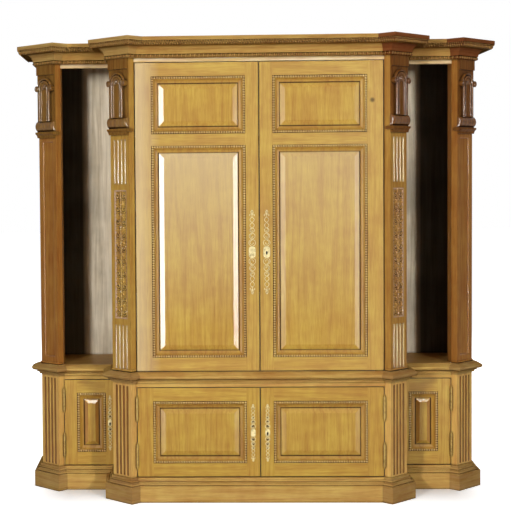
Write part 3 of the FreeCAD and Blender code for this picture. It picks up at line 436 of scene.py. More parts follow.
def finish_piece(name, parts, material, body, replaced=()):
    """Join parts given in millimetres into one mesh that rides on a body."""
    starts = np.cumsum([0] + [len(points) for points, faces in parts[:-1]])
    points = np.concatenate([points for points, faces in parts]) * MM
    faces = np.concatenate([faces + start for (_, faces), start in zip(parts, starts)])
    mesh = bpy.data.meshes.new(name)
    mesh.from_pydata(points.tolist(), [], faces.tolist())
    mesh.polygons.foreach_set("use_smooth", np.ones(len(faces), bool))
    mesh.set_sharp_from_angle(angle=SHARP_ANGLE)
    mesh.materials.append(material)
    if mesh.validate():
        raise RuntimeError(f"{name} has faces that are not valid")
    piece = bpy.data.objects.new(name, mesh)
    bpy.context.scene.collection.objects.link(piece)
    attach(piece, body)
    if replaced:
        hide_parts(*replaced)
    return piece


def mitred_plan(offset):
    """The plan's corners at an offset, each run's direction and outward side, and each corner's mitre."""
    step = np.diff(WHOLE_PLAN, axis=0)
    direction = step / np.linalg.norm(step, axis=1, keepdims=True)
    outward = np.stack([direction[:, 1], -direction[:, 0]], -1)
    before = np.concatenate([outward[:1], outward])
    after = np.concatenate([outward, outward[-1:]])
    mitre = (before + after) / (1 + np.sum(before * after, axis=1, keepdims=True))
    return WHOLE_PLAN + offset * mitre, direction, outward, mitre


def along_plan(offset, pitch):
    """Evenly spaced places along the mitred plan at an offset: points, directions along and outwards."""
    corners, direction, outward, mitre = mitred_plan(offset)
    places, ways, outs = [], [], []
    for start, end, way, out in zip(corners, corners[1:], direction, outward):
        count = max(1, round(np.linalg.norm(end - start) / pitch))
        share = ((np.arange(count) + 0.5) / count)[:, None]
        places.append(start + share * (end - start))
        ways.append(np.tile(way, (count, 1)))
        outs.append(np.tile(out, (count, 1)))
    return np.concatenate(places), np.concatenate(ways), np.concatenate(outs)


def plan_row(bead, pitch, lean=0.0, tilt=0.0):
    """One bead repeated along the plan; lean slants it along the run, tilt leans its top outwards."""
    half_sizes, offset, level = bead
    places, ways, outs = along_plan(offset, pitch)
    count = len(places)
    way = np.concatenate([ways, np.zeros((count, 1))], 1)
    out = np.concatenate([outs, np.zeros((count, 1))], 1)
    up = np.tile([0.0, 0.0, 1.0], (count, 1))
    rise = math.cos(tilt) * up + math.sin(tilt) * out
    face = math.cos(tilt) * out - math.sin(tilt) * up
    first = math.cos(lean) * way + math.sin(lean) * rise
    second = math.cos(lean) * rise - math.sin(lean) * way
    # The run goes left to right, so the bead's own axes are along, up and then towards the viewer
    origins = np.concatenate([places, np.full((count, 1), float(level))], 1)
    return repeat(ball(*half_sizes), origins, np.stack([first, second, face], 1))


def ruled_bead(offset, level, radius, first=0, last=None):
    """A round bead carried along the mitred plan: point = corner + r cos a * down + r sin a * mitre."""
    corners, direction, outward, mitre = mitred_plan(offset)
    path = np.concatenate([corners, np.full((len(corners), 1), float(level))], 1)[first:last]
    out = np.concatenate([mitre, np.zeros((len(mitre), 1))], 1)[first:last]
    down = np.tile([0.0, 0.0, -1.0], (len(path), 1))
    return sweep(path, down, out, circle((0, 0), radius, 10)[::-1])


def spiral(centre, start_radius, end_radius, start_angle, turns, steps=40):
    """A flat spiral whose radius falls evenly with its angle."""
    share = np.linspace(0, 1, steps)
    angle = start_angle + turns * FULL_TURN * share
    radius = start_radius + (end_radius - start_radius) * share
    return np.stack([centre[0] + radius * np.cos(angle), centre[1] + radius * np.sin(angle)], -1)


def circle(centre, radius, steps=28):
    """A flat ring of points."""
    angle = np.linspace(0, FULL_TURN, steps, endpoint=False)
    return np.stack([centre[0] + radius * np.cos(angle), centre[1] + radius * np.sin(angle)], -1)


def add(tree, kind, inputs=None, stops=None, **settings):
    """One node with its settings, its inputs (a value or a socket to link) and its ramp's stops."""
    made = tree.nodes.new(kind)
    for name, value in settings.items():
        setattr(made, name, value)
    for key, value in (inputs or {}).items():
        if isinstance(value, bpy.types.NodeSocket):
            tree.links.new(value, made.inputs[key])
        else:
            made.inputs[key].default_value = value
    if stops:
        ramp = made.color_ramp
        while len(ramp.elements) < len(stops):
            ramp.elements.new(0.5)
        for element, (position, grey) in zip(ramp.elements, stops):
            element.position = position
            element.color = (grey, grey, grey, 1)
    return made


def calculate(tree, operation, *values):
    """One sum on numbers and sockets."""
    return add(tree, "ShaderNodeMath", dict(enumerate(values)), operation=operation).outputs[0]


def mapped(tree, value, low, high, first, last):
    """A value between low and high turned into one between first and last, and held there beyond."""
    return add(tree, "ShaderNodeMapRange", {0: value, 1: low, 2: high, 3: first, 4: last}).outputs[0]


def stepped(tree, value, stops):
    """A grey that goes from stop to stop, each a position and a grey."""
    return add(tree, "ShaderNodeValToRGB", {0: value}, stops=stops).outputs[0]


def axes_of(tree, vector):
    """The X, Y and Z of a vector."""
    return add(tree, "ShaderNodeSeparateXYZ", {0: vector}).outputs


def stretched(tree, place, scale):
    """The place on a piece, stretched along the grain."""
    return add(tree, "ShaderNodeMapping", {"Vector": place, "Scale": scale}).outputs[0]


def noise(tree, place, millimetres, detail, **inputs):
    """A soft random pattern with patches of a real size."""
    inputs = {"Vector": place, "Scale": MILLIMETRES / millimetres, "Detail": detail, **inputs}
    return add(tree, "ShaderNodeTexNoise", inputs).outputs["Fac"]


def cornered(tree, millimetres, stops, samples=8):
    """A grey by how open a surface is: nought where others close in on it within a distance."""
    openness = add(tree, "ShaderNodeAmbientOcclusion", {"Distance": millimetres * MM}, samples=samples)
    return stepped(tree, openness.outputs["AO"], stops)


def knots(tree, place, net, few, core, edge, most):
    """Knots, one in some of the cells of a net; few is the share of cells without one."""
    cells = add(tree, "ShaderNodeTexVoronoi", {"Vector": place, "Scale": MILLIMETRES / net}).outputs
    chosen = add(tree, "ShaderNodeSeparateColor", {0: cells["Color"]}).outputs[0]
    chosen = calculate(tree, "GREATER_THAN", chosen, few)
    return calculate(tree, "MULTIPLY", mapped(tree, cells["Distance"], core, edge, most, 0.0), chosen)


def tinted(tree, tone, value, stops, red=STREAK_RED):
    """A tone times a pattern stepped between greys; red below one leaves more red, so streaks are brown."""
    step = add(tree, "ShaderNodeValToRGB", {0: value}, stops=stops)
    for element, (position, grey) in zip(step.color_ramp.elements, stops):
        element.color = (grey ** red, grey, grey, 1)
    return add(tree, "ShaderNodeMix", {0: 1.0, 6: tone, 7: step.outputs[0]}, data_type="RGBA",
               blend_type="MULTIPLY").outputs[2]


def blended(tree, share, first, second):
    """One tone turning into another."""
    return add(tree, "ShaderNodeMix", {0: share, 6: first, 7: second}, data_type="RGBA").outputs[2]


def new_material(name):
    """A material with its tree, its shader and the place on the piece."""
    material = bpy.data.materials.new(name)
    material.use_nodes = True
    tree = material.node_tree
    place = add(tree, "ShaderNodeTexCoord").outputs["Object"]
    return material, tree, tree.nodes["Principled BSDF"], place


def dress(tree, shader, tone, settings, height=None, strength=0.0, depth=0.0):
    """Give a shader its tone, its settings by socket, and a bump's strength and depth in millimetres."""
    tree.links.new(tone, shader.inputs["Base Color"])
    for socket, value in settings.items():
        shader.inputs[socket].default_value = value
    if height is not None:
        bump = add(tree, "ShaderNodeBump", {"Strength": strength, "Distance": depth * MM, "Height": height})
        tree.links.new(bump.outputs[0], shader.inputs["Normal"])


def canted(tree):
    """One on faces that look out at an angle in plan, nought on those that look to the front or the side."""
    axes = axes_of(tree, add(tree, "ShaderNodeTexCoord").outputs["Normal"])
    x, y = (calculate(tree, "ABSOLUTE", axes[name]) for name in "XY")
    share = calculate(tree, "DIVIDE", x, calculate(tree, "ADD", x, y))
    off = calculate(tree, "ABSOLUTE", calculate(tree, "SUBTRACT", share, 0.5))
    return mapped(tree, off, 0.1, 0.4, 1.0, 0.0)


def painted_sheen_share(tree, place, low, high, most, middle, right_share):
    """The share of painted sheen: it grows between two levels, and is less to the right of a middle."""
    axes = axes_of(tree, place)
    share = mapped(tree, axes["Z"], low * MM, high * MM, 0.0, most)
    share = calculate(tree, "MULTIPLY", share, calculate(tree, "LESS_THAN", axes["Z"], high * MM))
    edges = ((middle - SHEEN_EDGE) * MM, (middle + SHEEN_EDGE) * MM)
    return calculate(tree, "MULTIPLY", share, mapped(tree, axes["X"], *edges, 1.0, right_share))


def waxed_oak(name, tones, grain, *, stiles=None, angled=None, ground=None, inside=None, pale_sheen=None,
              bands=(), seams=(), right=None, corner_shade=0.85, reach=14, roughness=0.36, coat=0.1, sheen=0.1):
    """Plain-sawn oak, scraped and waxed: soft figure, growth lines, pores, knots, dark wax and painted shade
    in corners.

    Tones gives the pale wood, the dark wood and the dark tone of old wax and painted shade.
    Stiles gives the band of |x| between which a door's frame is rail, with level grain.
    Angled gives the pale and dark tones painted on faces that look out at an angle, as light and shade.
    Ground gives the level in Y of a sunk ground darkened with old wax and painted shade.
    Inside gives the painted shade on faces that look towards the middle of the cabinet.
    The painted sheen gives its tone, then the levels, most, middle and right-hand share of the sheen.
    Bands gives the levels in Z of sunk grounds darkened with old wax and painted shade, and seams the |x| of
    door edges darkened with painted shade along their gaps.
    Right gives how much darker the right-hand pieces are painted, as shade, or only their angled faces where
    there are any.
    """
    material, tree, shader, place = new_material(name)
    pale, dark, dark_wax_and_shade = tones
    axes = axes_of(tree, place)
    from_middle = calculate(tree, "ABSOLUTE", axes["X"])
    run = stretched(tree, place, grain)
    if stiles:
        middle, half = sum(stiles) / 2, (stiles[1] - stiles[0]) / 2
        in_rail = calculate(tree, "COMPARE", from_middle, middle * MM, half * MM)
        level = stretched(tree, place, LEVEL_GRAIN)
        run = add(tree, "ShaderNodeMix", {0: in_rail, 4: run, 5: level}, data_type="VECTOR").outputs[1]
    # Painted light and shade: faces that look out at an angle take their own tones
    if angled:
        turned = canted(tree)
        pale, dark = (blended(tree, turned, own, other) for own, other in zip((pale, dark), angled))
    # Figure about 10 mm across
    figure = noise(tree, run, 10, 4.0, Roughness=0.6, Distortion=0.3)
    tone = blended(tree, stepped(tree, figure, [(0.3, 0.1), (0.72, 0.9)]), pale, dark)
    # Growth lines are the contours of a swelling about 90 mm across: sin(50 * height)
    swell = noise(tree, run, 90, 1.5, Roughness=0.4)
    lines = calculate(tree, "SINE", calculate(tree, "MULTIPLY", swell, 50.0))
    tone = tinted(tree, tone, lines, [(0.0, 1.02), (1.0, 0.84)])
    # Pores, really 0.3 mm wide, drawn at 4 mm so that they show
    pores = noise(tree, run, 4, 2.0, Roughness=0.7)
    tone = tinted(tree, tone, pores, [(0.45, 1.0), (0.70, 0.78)])
    # Uneven colour about 240 mm and 60 mm across, from age and sun
    tone = tinted(tree, tone, noise(tree, place, 240, 3.0), [(0.32, 0.88), (0.66, 1.08)])
    tone = tinted(tree, tone, noise(tree, place, 60, 3.0), [(0.35, 0.95), (0.65, 1.04)])
    # Painted sheen: a pale patch on the upper doors' panels and left-hand stiles
    if pale_sheen:
        tone = blended(tree, painted_sheen_share(tree, place, *pale_sheen[1:]), tone, pale_sheen[0])
    # Painted shade: the right-hand pieces, or only their angled faces, are darker
    if right:
        darker = calculate(tree, "GREATER_THAN", axes["X"], 0.0)
        if angled:
            darker = calculate(tree, "MULTIPLY", darker, turned)
        tone = tinted(tree, tone, darker, [(0.0, 1.0), (1.0, right)])
    # Old wax and painted shade in the corners, and knots about 20 mm across in some of the cells of a 330 mm
    # net
    wax = cornered(tree, reach, [(0.35, corner_shade), (0.90, 0.0)])
    stain = calculate(tree, "MAXIMUM", wax, knots(tree, place, 330, 0.66, 0.02, 0.05, 0.7))
    tone = blended(tree, stain, tone, dark_wax_and_shade)
    # Painted shade: old wax and shade in the sunk grounds, and shade along the door gaps
    painted_shade_strips = [(axes["Z"], (low + high) / 2, (high - low) / 2, BAND_SHADE) for low, high in bands]
    painted_shade_strips += [(from_middle, middle, SEAM_HALF, SEAM_SHADE) for middle in seams]
    if ground is not None:
        painted_shade_strips.append((axes["Y"], ground, GROUND_HALF, GROUND_SHADE))
    for axis, middle, half, share in painted_shade_strips:
        there = calculate(tree, "COMPARE", axis, middle * MM, half * MM)
        tone = blended(tree, calculate(tree, "MULTIPLY", there, share), tone, dark_wax_and_shade)
    # Painted shade: the inner faces of the ends take a near-black tone
    if inside:
        # The ends stand over a metre from the middle, so facing times X is lowest on their inner faces
        facing = axes_of(tree, add(tree, "ShaderNodeTexCoord").outputs["Normal"])["X"]
        facing = calculate(tree, "MULTIPLY", facing, axes["X"])
        tone = blended(tree, calculate(tree, "LESS_THAN", facing, -0.95), tone, inside)
    settings = {"Roughness": roughness, "IOR": WAX_IOR, "Specular IOR Level": sheen, "Coat Weight": coat,
                "Coat Roughness": COAT_ROUGHNESS}
    dress(tree, shader, tone, settings, calculate(tree, "ADD", pores, lines), 0.12, 0.5)
    return material


def dry_boards(name, pale, dark, dark_wax_and_shade, black):
    """Sawn softwood back boards, never waxed: grey-beige, streaked and stained, each board its own tone."""
    material, tree, shader, place = new_material(name)
    axes = axes_of(tree, place)
    # Streaks about 22 mm across, and stains about 340 mm across
    streak = noise(tree, stretched(tree, place, UPRIGHT_GRAIN), 22, 5.0, Roughness=0.65, Distortion=0.5)
    tone = blended(tree, stepped(tree, streak, [(0.35, 0.0), (0.7, 1.0)]), pale, dark)
    tone = tinted(tree, tone, noise(tree, place, 340, 4.0), [(0.32, 0.66), (0.6, 1.12)], red=1)
    number = calculate(tree, "FLOOR", calculate(tree, "DIVIDE", axes["X"], BACK_BOARD * MM))
    own = add(tree, "ShaderNodeTexWhiteNoise", {"W": number}, noise_dimensions="1D").outputs["Value"]
    tone = tinted(tree, tone, own, [(0.0, 0.85), (1.0, 1.0)], red=1)
    # Dust and painted shade in the corners, and knots about 14 mm across in some of the cells of a 260 mm
    # net
    tone = blended(tree, cornered(tree, 30, [(0.25, 0.8), (0.75, 0.0)]), tone, dark_wax_and_shade)
    tone = blended(tree, knots(tree, place, 260, 0.4, 0.018, 0.034, 0.85), tone, dark_wax_and_shade)
    # Painted shadow: black on the inside of the boards behind the outer posts
    start, full = SHADOW_EDGE
    shadow_black = mapped(tree, calculate(tree, "ABSOLUTE", axes["X"]), start * MM, full * MM, 0.0, 0.86)
    inside = calculate(tree, "LESS_THAN", axes["Y"], BACK_INSIDE * MM)
    tone = blended(tree, calculate(tree, "MULTIPLY", shadow_black, inside), tone, black)
    dress(tree, shader, tone, {"Roughness": 0.75, "Specular IOR Level": 0.0}, streak, 0.2, 0.8)
    return material


def polished_brass(name, bright, tarnish, roughness=0.3):
    """Sawn and polished brass with brown tarnish in patches about 14 mm across and in its corners."""
    material, tree, shader, place = new_material(name)
    patch = noise(tree, place, 14, 3.0)
    tone = blended(tree, stepped(tree, patch, [(0.45, 0.0), (0.8, 0.7)]), bright, tarnish)
    tone = blended(tree, cornered(tree, 4, [(0.3, 0.7), (0.8, 0.0)]), tone, tarnish)
    rough = mapped(tree, patch, 0.0, 1.0, roughness, roughness + 0.2)
    tree.links.new(rough, shader.inputs["Roughness"])
    dress(tree, shader, tone, {"Metallic": 1.0})
    return material


def dark_fill(name, tone):
    """Painted shade in the quirks and key holes, with old wax in the quirks: dull, almost black, paler in
    patches about 20 mm across.
    """
    material, tree, shader, place = new_material(name)
    tone = tinted(tree, tone, noise(tree, place, 20, 3.0), [(0.35, 0.8), (0.65, 1.0)])
    dress(tree, shader, tone, {"Roughness": 0.9, "Specular IOR Level": 0.05})
    return material


def finish_named(name):
    """A finish that the woodwork operator made."""
    return bpy.data.materials[name]


class FinishWoodwork(bpy.types.Operator):
    """Make the oak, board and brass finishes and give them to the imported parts"""

    bl_idname = "cabinet.finish_woodwork"
    bl_label = "Finish the woodwork"

    def execute(self, context):
        tone = context.scene.library_cabinet.finishes
        # The dark tone of old wax and painted shade, also used for knots
        wax = tone.dark_wax_and_shade
        oak = {wood: (getattr(tone, f"{wood}_pale"), getattr(tone, f"{wood}_dark"), wax) for wood in WOODS}
        honey = (tone.honey, tone.amber, wax)
        self.carved_finishes(oak)
        # Painted shade: the near-black fill of the key holes
        dark_fill("key_hole_shadow", tone.shadow_black)
        # Dark fill of old wax and painted shade, for the lines round the panels and the eyes of the frets
        dark_fill("wax_and_painted_shade", tone.groove_shade)
        upright = waxed_oak("waxed_oak_upright", honey, UPRIGHT_GRAIN)
        sunk = waxed_oak("side_panel_oak", honey, UPRIGHT_GRAIN, angled=oak["outer"])
        tall = waxed_oak("upper_panel_oak", honey, UPRIGHT_GRAIN, pale_sheen=(tone.pale_sheen, *PANEL_SHEEN))
        level = waxed_oak("waxed_oak_level", oak["rail"], LEVEL_GRAIN, angled=oak["block"], corner_shade=0.97,
                          sheen=0, coat=0)
        faded = waxed_oak("frieze_oak", (tone.pale_sheen, tone.bead_dark, wax), LEVEL_GRAIN, sheen=0, coat=0)
        crown = waxed_oak("cornice_oak", oak["cornice"], LEVEL_GRAIN, angled=oak["turned"],
                          bands=CARVED_BANDS, right=0.25, roughness=0.6, sheen=0, coat=0)
        plank = waxed_oak("waxed_oak_plank", oak["cornice"], PLANK_GRAIN, sheen=0.03, coat=0.03)
        inner_post = waxed_oak("post_oak", oak["post"], UPRIGHT_GRAIN, right=0.76, sheen=0.04, coat=0.03)
        base_post = waxed_oak("base_post_oak", oak["base"], UPRIGHT_GRAIN, sheen=0.04, coat=0.03)
        outer_post = waxed_oak("outer_post_oak", oak["outer"], UPRIGHT_GRAIN, sheen=0.04, coat=0.03)
        end = waxed_oak("end_oak", oak["outer"], UPRIGHT_GRAIN, inside=tone.shadow_black, sheen=0, coat=0)
        base_end = waxed_oak("base_end_oak", oak["post"], UPRIGHT_GRAIN, sheen=0, coat=0)
        corbel = waxed_oak("corbel_oak", oak["corbel"], UPRIGHT_GRAIN, right=0.6, corner_shade=0.97, reach=24,
                           sheen=0.03, coat=0)
        boards = dry_boards("dry_back_boards", tone.board_pale, tone.board_dark, wax, tone.shadow_black)
        brass = polished_brass("polished_brass", tone.brass, tone.tarnish)
        worn = polished_brass("worn_brass", tone.worn_brass, tone.tarnish, roughness=0.42)
        hidden = polished_brass("browned_brass", tone.corbel_dark, wax, roughness=0.5)
        wearers = {
            level: ["plinth", "surbase_moulding", "base_rails"],
            faded: ["frieze"],
            crown: ["cornice"],
            plank: ["waist_board", "base_floor", "roof", "shelves"],
            outer_post: ["upper_outer_posts"],
            end: ["upper_ends"],
            corbel: ["corbels"],
            inner_post: ["upper_inner_posts", "upper_partitions", "base_partitions"],
            base_end: ["base_ends"],
            base_post: ["base_inner_posts", "base_outer_posts"],
            boards: ["base_back", "upper_back"],
            brass: [],
            worn: ["post_hinges"],
            hidden: ["door_pivots"],
        }
        stile_sheen = {"upper": (tone.pale_sheen, *STILE_SHEEN)}
        for door, (face, edges, openings) in DOOR_OPENINGS.items():
            framed = waxed_oak(f"{door}_door_frame_oak", honey, UPRIGHT_GRAIN,
                               stiles=sorted(map(abs, edges)), pale_sheen=stile_sheen.get(door),
                               seams=() if door == "side" else DOOR_SEAMS)
            panel = {"upper": tall, "lower": upright, "side": sunk}[door]
            moulded = waxed_oak(f"{door}_moulded_oak", (tone.amber, tone.post_dark, wax), UPRIGHT_GRAIN,
                                ground=face - BEAD_GROUND, corner_shade=0.8, roughness=0.5, coat=0.03)
            for side in ("left", "right"):
                for material, word in ((framed, "frame"), (panel, "panels"), (moulded, "mouldings")):
                    wearers.setdefault(material, []).append(f"{door}_{side}_{word}")
                wearers[hidden if door == "upper" else worn].append(f"{door}_{side}_hinges")
                names = [f"{door}_{side}_{word}" for word in ("escutcheon", "lock", "bolt")]
                wearers[brass] += [name for name in names if name in frame["nodes"]]
        bare = set(frame["nodes"]).difference(*wearers.values())
        if bare:
            raise RuntimeError(f"no finish for {sorted(bare)}")
        for material, names in wearers.items():
            for name in names:
                frame["nodes"][name].data.materials.clear()
                frame["nodes"][name].data.materials.append(material)
        return {"FINISHED"}

    @staticmethod
    def carved_finishes(oak):
        """The finishes of the new pieces, glossier than the plain oak where hands have rubbed them; the
        beads and the upper flutes are painted pale as highlights.
        """
        waxed_oak("beaded_oak", oak["bead"], UPRIGHT_GRAIN, corner_shade=0.25, reach=6)
        waxed_oak("carved_oak", oak["post"], UPRIGHT_GRAIN, right=0.76, corner_shade=0.98, reach=12, roughness=0.32,
                  sheen=0.08, coat=0.12)
        waxed_oak("carved_corbel_oak", oak["corbel"], UPRIGHT_GRAIN, right=0.6, corner_shade=0.97, roughness=0.26,
                  sheen=0.06, coat=0.22)
        # Painted shade: the hollows of the base flutes are darker
        waxed_oak("shaded_flute_oak", oak["flute"], UPRIGHT_GRAIN, corner_shade=0.9, sheen=0.03, coat=0.06)
        # Painted highlight: the upper flutes are pale, as if catching the lamps
        waxed_oak("flute_highlight_oak", oak["bead"], UPRIGHT_GRAIN, corner_shade=0.97, reach=15, roughness=0.3,
                  sheen=0.06, coat=0.4)
        waxed_oak("rubbed_edge_oak", oak["outer"], UPRIGHT_GRAIN, roughness=0.34, sheen=0.08, coat=0.2)
        waxed_oak("carved_cornice_oak", oak["cornice"], UPRIGHT_GRAIN, angled=oak["corbel"], right=0.5,
                  corner_shade=0.8, reach=7, sheen=0.04, coat=0)
        waxed_oak("ruled_oak", oak["rail"], LEVEL_GRAIN, angled=oak["block"], corner_shade=0.98, reach=9,
                  sheen=0, coat=0)


class CarveCornice(bpy.types.Operator):
    """Cut the rope bead and the two rows of eggs round the cornice"""

    bl_idname = "cabinet.carve_cornice"
    bl_label = "Carve the cornice"

    def execute(self, context):
        size = sizes_of(context)
        carved = finish_named("carved_cornice_oak")
        rope = plan_row(ROPE_BEAD, size["rope_pitch"], lean=ROPE_LEAN)
        finish_piece("cornice_rope_bead", [rope], carved, "carcase")
        eggs = plan_row(EGG, size["egg_pitch"], tilt=EGG_SLOPE)
        tips = plan_row(EGG_TIP, size["egg_pitch"])
        finish_piece("cornice_egg_row", [eggs, tips], carved, "carcase")
        return {"FINISHED"}


class RuleMouldings(bpy.types.Operator):
    """Run thin beads along the plinth and the surbase"""

    bl_idname = "cabinet.rule_mouldings"
    bl_label = "Rule the plinth and the surbase"

    def execute(self, context):
        ruled = finish_named("ruled_oak")
        plinth = [ruled_bead(*bead) for bead in PLINTH_BEADS]
        finish_piece("plinth_beads", plinth, ruled, "carcase")
        surbase = [ruled_bead(*bead, 1, -1) for bead in SURBASE_BEADS]
        finish_piece("surbase_beads", surbase, ruled, "carcase")
        return {"FINISHED"}


def rectangle(low_x, high_x, low_z, high_z, inset):
    """The corners of a rectangle drawn in by an inset, anticlockwise from the lower left."""
    left, right, bottom, top = low_x + inset, high_x - inset, low_z + inset, high_z - inset
    return np.array([(left, bottom), (right, bottom), (right, top), (left, top)], float)


class BeadPanels(bpy.types.Operator):
    """Run a row of beads and two dark lines of old wax and painted shade round every door panel"""

    bl_idname = "cabinet.bead_panels"
    bl_label = "Bead the door panels"

    def execute(self, context):
        size = sizes_of(context)
        bead = ball(*[size["bead_radius"]] * 3)
        beaded, corner_shade = finish_named("beaded_oak"), finish_named("wax_and_painted_shade")
        quirk = half_round(QUIRK_HALF * math.sqrt(2), 0.5, 0.3)
        for door, (face, (low_x, high_x), openings) in DOOR_OPENINGS.items():
            rows, quirks = [], []
            for low_z, high_z in openings:
                # Two dark lines of painted shade and old wax, at the moulding's outer edge and inside it
                for inset, level in QUIRK_LINES:
                    line = rectangle(low_x, high_x, low_z, high_z, inset)
                    quirks.append(stroke(line, front_face(0, face - level, 0), quirk, closed=True))
                corners = rectangle(low_x, high_x, low_z, high_z, BEAD_LINE)
                for start, end in zip(corners, np.roll(corners, -1, 0)):
                    count = round(np.linalg.norm(end - start) / size["bead_pitch"])
                    rows.append(start + np.arange(count)[:, None] / count * (end - start))
            places = np.concatenate(rows)
            origins = np.stack([places[:, 0], np.full(len(places), face - BEAD_SEAT), places[:, 1]], -1)
            axes = np.tile([[1.0, 0, 0], [0, 0, 1.0], [0, -1.0, 0]], (len(places), 1, 1))
            beads = [repeat(bead, origins, axes)]
            for (side, row), (_, lines) in zip(both_sides(beads), both_sides(quirks)):
                body = f"{door}_{side}_door"
                finish_piece(f"{door}_{side}_panel_beads", row, beaded, body)
                finish_piece(f"{door}_{side}_panel_quirks", lines, corner_shade, body)
        return {"FINISHED"}


def gadroon_roll(lobes):
    """A lobed roll: out = seat + bulge * sin v * (1 - dip + dip * sqrt |sin(lobes * pi * x)|)."""
    x = np.linspace(-GADROON_LAP, POST_WIDTH + GADROON_LAP, 121)
    v = np.linspace(0, HALF_TURN, 15)
    x, v = np.meshgrid(x, v, indexing="ij")
    middle = (GADROON[0] + GADROON[1]) / 2
    half = (GADROON[1] - GADROON[0]) / 2
    lobe = np.abs(np.sin(HALF_TURN * lobes * x / POST_WIDTH))
    straight = POST_MIDDLE - (GADROON_ROUND - GADROON_LAP)
    edge = np.clip((np.abs(x - POST_MIDDLE) - straight) / GADROON_ROUND, 0, 1)
    swell = GADROON_BULGE * np.sin(v) * (1 - GADROON_DIP + GADROON_DIP * np.sqrt(lobe))
    out = (GADROON_SEAT + swell) * np.sqrt(1 - edge ** 2)
    z = middle - half * np.cos(v)
    return np.stack([x, z, out], -1).reshape(-1, 3), grid_faces(*x.shape)[:, ::-1]


def tablet_ribs(radius):
    """Two half-round ribs up both sides of the tablet and round its arched head."""
    parts = []
    for inset, share in TABLET_RIBS:
        width = radius * share
        reach = TABLET_HALF - inset
        angle = np.linspace(HALF_TURN, 0, 25)
        head = np.stack([POST_MIDDLE + reach * np.cos(angle), TABLET_SPRING + reach * np.sin(angle)], -1)
        foot = GADROON[1] + RIB_FOOT
        ends = np.array([[POST_MIDDLE - reach, foot], [POST_MIDDLE + reach, foot]])
        parts.append((np.concatenate([ends[:1], head, ends[1:]]), half_round(width, width)))
    return parts


class CarveCorbels(bpy.types.Operator):
    """Cut the gadroons, ribs, leaf heads and volutes of the four corbels"""

    bl_idname = "cabinet.carve_corbels"
    bl_label = "Carve the corbels"

    def execute(self, context):
        size = sizes_of(context)
        carved = finish_named("carved_corbel_oak")
        for place, edge in (("outer", OUTER_EDGE), ("inner", INNER_EDGE)):
            face = post_face(edge)
            hood, tablet, disc = (raised(face, level) for level in (HOOD_FACE, TABLET_FACE, VOLUTE_FACE))
            parts = [laid(gadroon_roll(size["gadroon_lobes"]), face)]
            parts += [stroke(line, tablet, section) for line, section in tablet_ribs(size["rib_radius"])]
            # The leaf head: petals that spread from the foot of the arch
            cosine, sine, zero = np.cos(PETAL_ANGLES), np.sin(PETAL_ANGLES), 0 * PETAL_ANGLES
            ray, cross = np.stack([cosine, sine, zero], -1), np.stack([-sine, cosine, zero], -1)
            out = np.tile([0.0, 0.0, 1.0], (len(ray), 1))
            roots = np.array([POST_MIDDLE, TABLET_SPRING - PETAL_DROP, 0]) + PETAL_REACH * ray
            petals = repeat(ball(*PETAL_HALF, rings=5), roots, np.stack([ray, cross, out], 1))
            parts.append(laid(petals, tablet))
            # The hood's rim, and a volute at each of its feet
            rim_angle = np.linspace(*HOOD_ARC, 31)
            rim = np.stack([np.cos(rim_angle), np.sin(rim_angle)], -1) * (HOOD_RADIUS - HOOD_RIM[0])
            parts.append(stroke(rim + (POST_MIDDLE, TABLET_SPRING), hood, half_round(*HOOD_RIM)))
            for sign in (-1, 1):
                centre = (POST_MIDDLE + sign * VOLUTE_REACH, TABLET_SPRING)
                line = spiral(centre, *VOLUTE_RADII, HALF_TURN / 2, -sign * VOLUTE_TURNS, 48)
                parts.append(stroke(line, disc, half_round(*VOLUTE_RIB)))
                parts.append(laid(ball(*[VOLUTE_EYE] * 3, rings=5), disc, (*centre, 0)))
            for side, made in both_sides(parts):
                finish_piece(f"{place}_{side}_corbel_carving", made, carved, "carcase")
        return {"FINISHED"}


def edge_moulding(low, high, drop):
    """A quarter round laid inside a sunken rectangle: section carried round four mitred corners."""
    angle = np.linspace(0, HALF_TURN / 2, 5)
    curve = np.stack([EDGE_WIDTH * np.sin(angle), -drop + (drop - EDGE_LIP) * np.cos(angle)], -1)
    back = -drop - EDGE_SEAT
    section = np.concatenate([curve, [[EDGE_WIDTH, back], [-EDGE_SEAT, back], [-EDGE_SEAT, -EDGE_LIP]]])
    corners = np.array([low, (high[0], low[1]), high, (low[0], high[1])], float)
    inward = np.array([[1, 1], [-1, 1], [-1, -1], [1, -1]])
    flat = corners[:, None] + section[None, :, :1] * inward[:, None]
    out = np.broadcast_to(section[None, :, 1:], (4, len(section), 1))
    points = np.concatenate([flat, out], -1).reshape(-1, 3)
    return points, grid_faces(4, len(section), close_rows=True, close_columns=True)


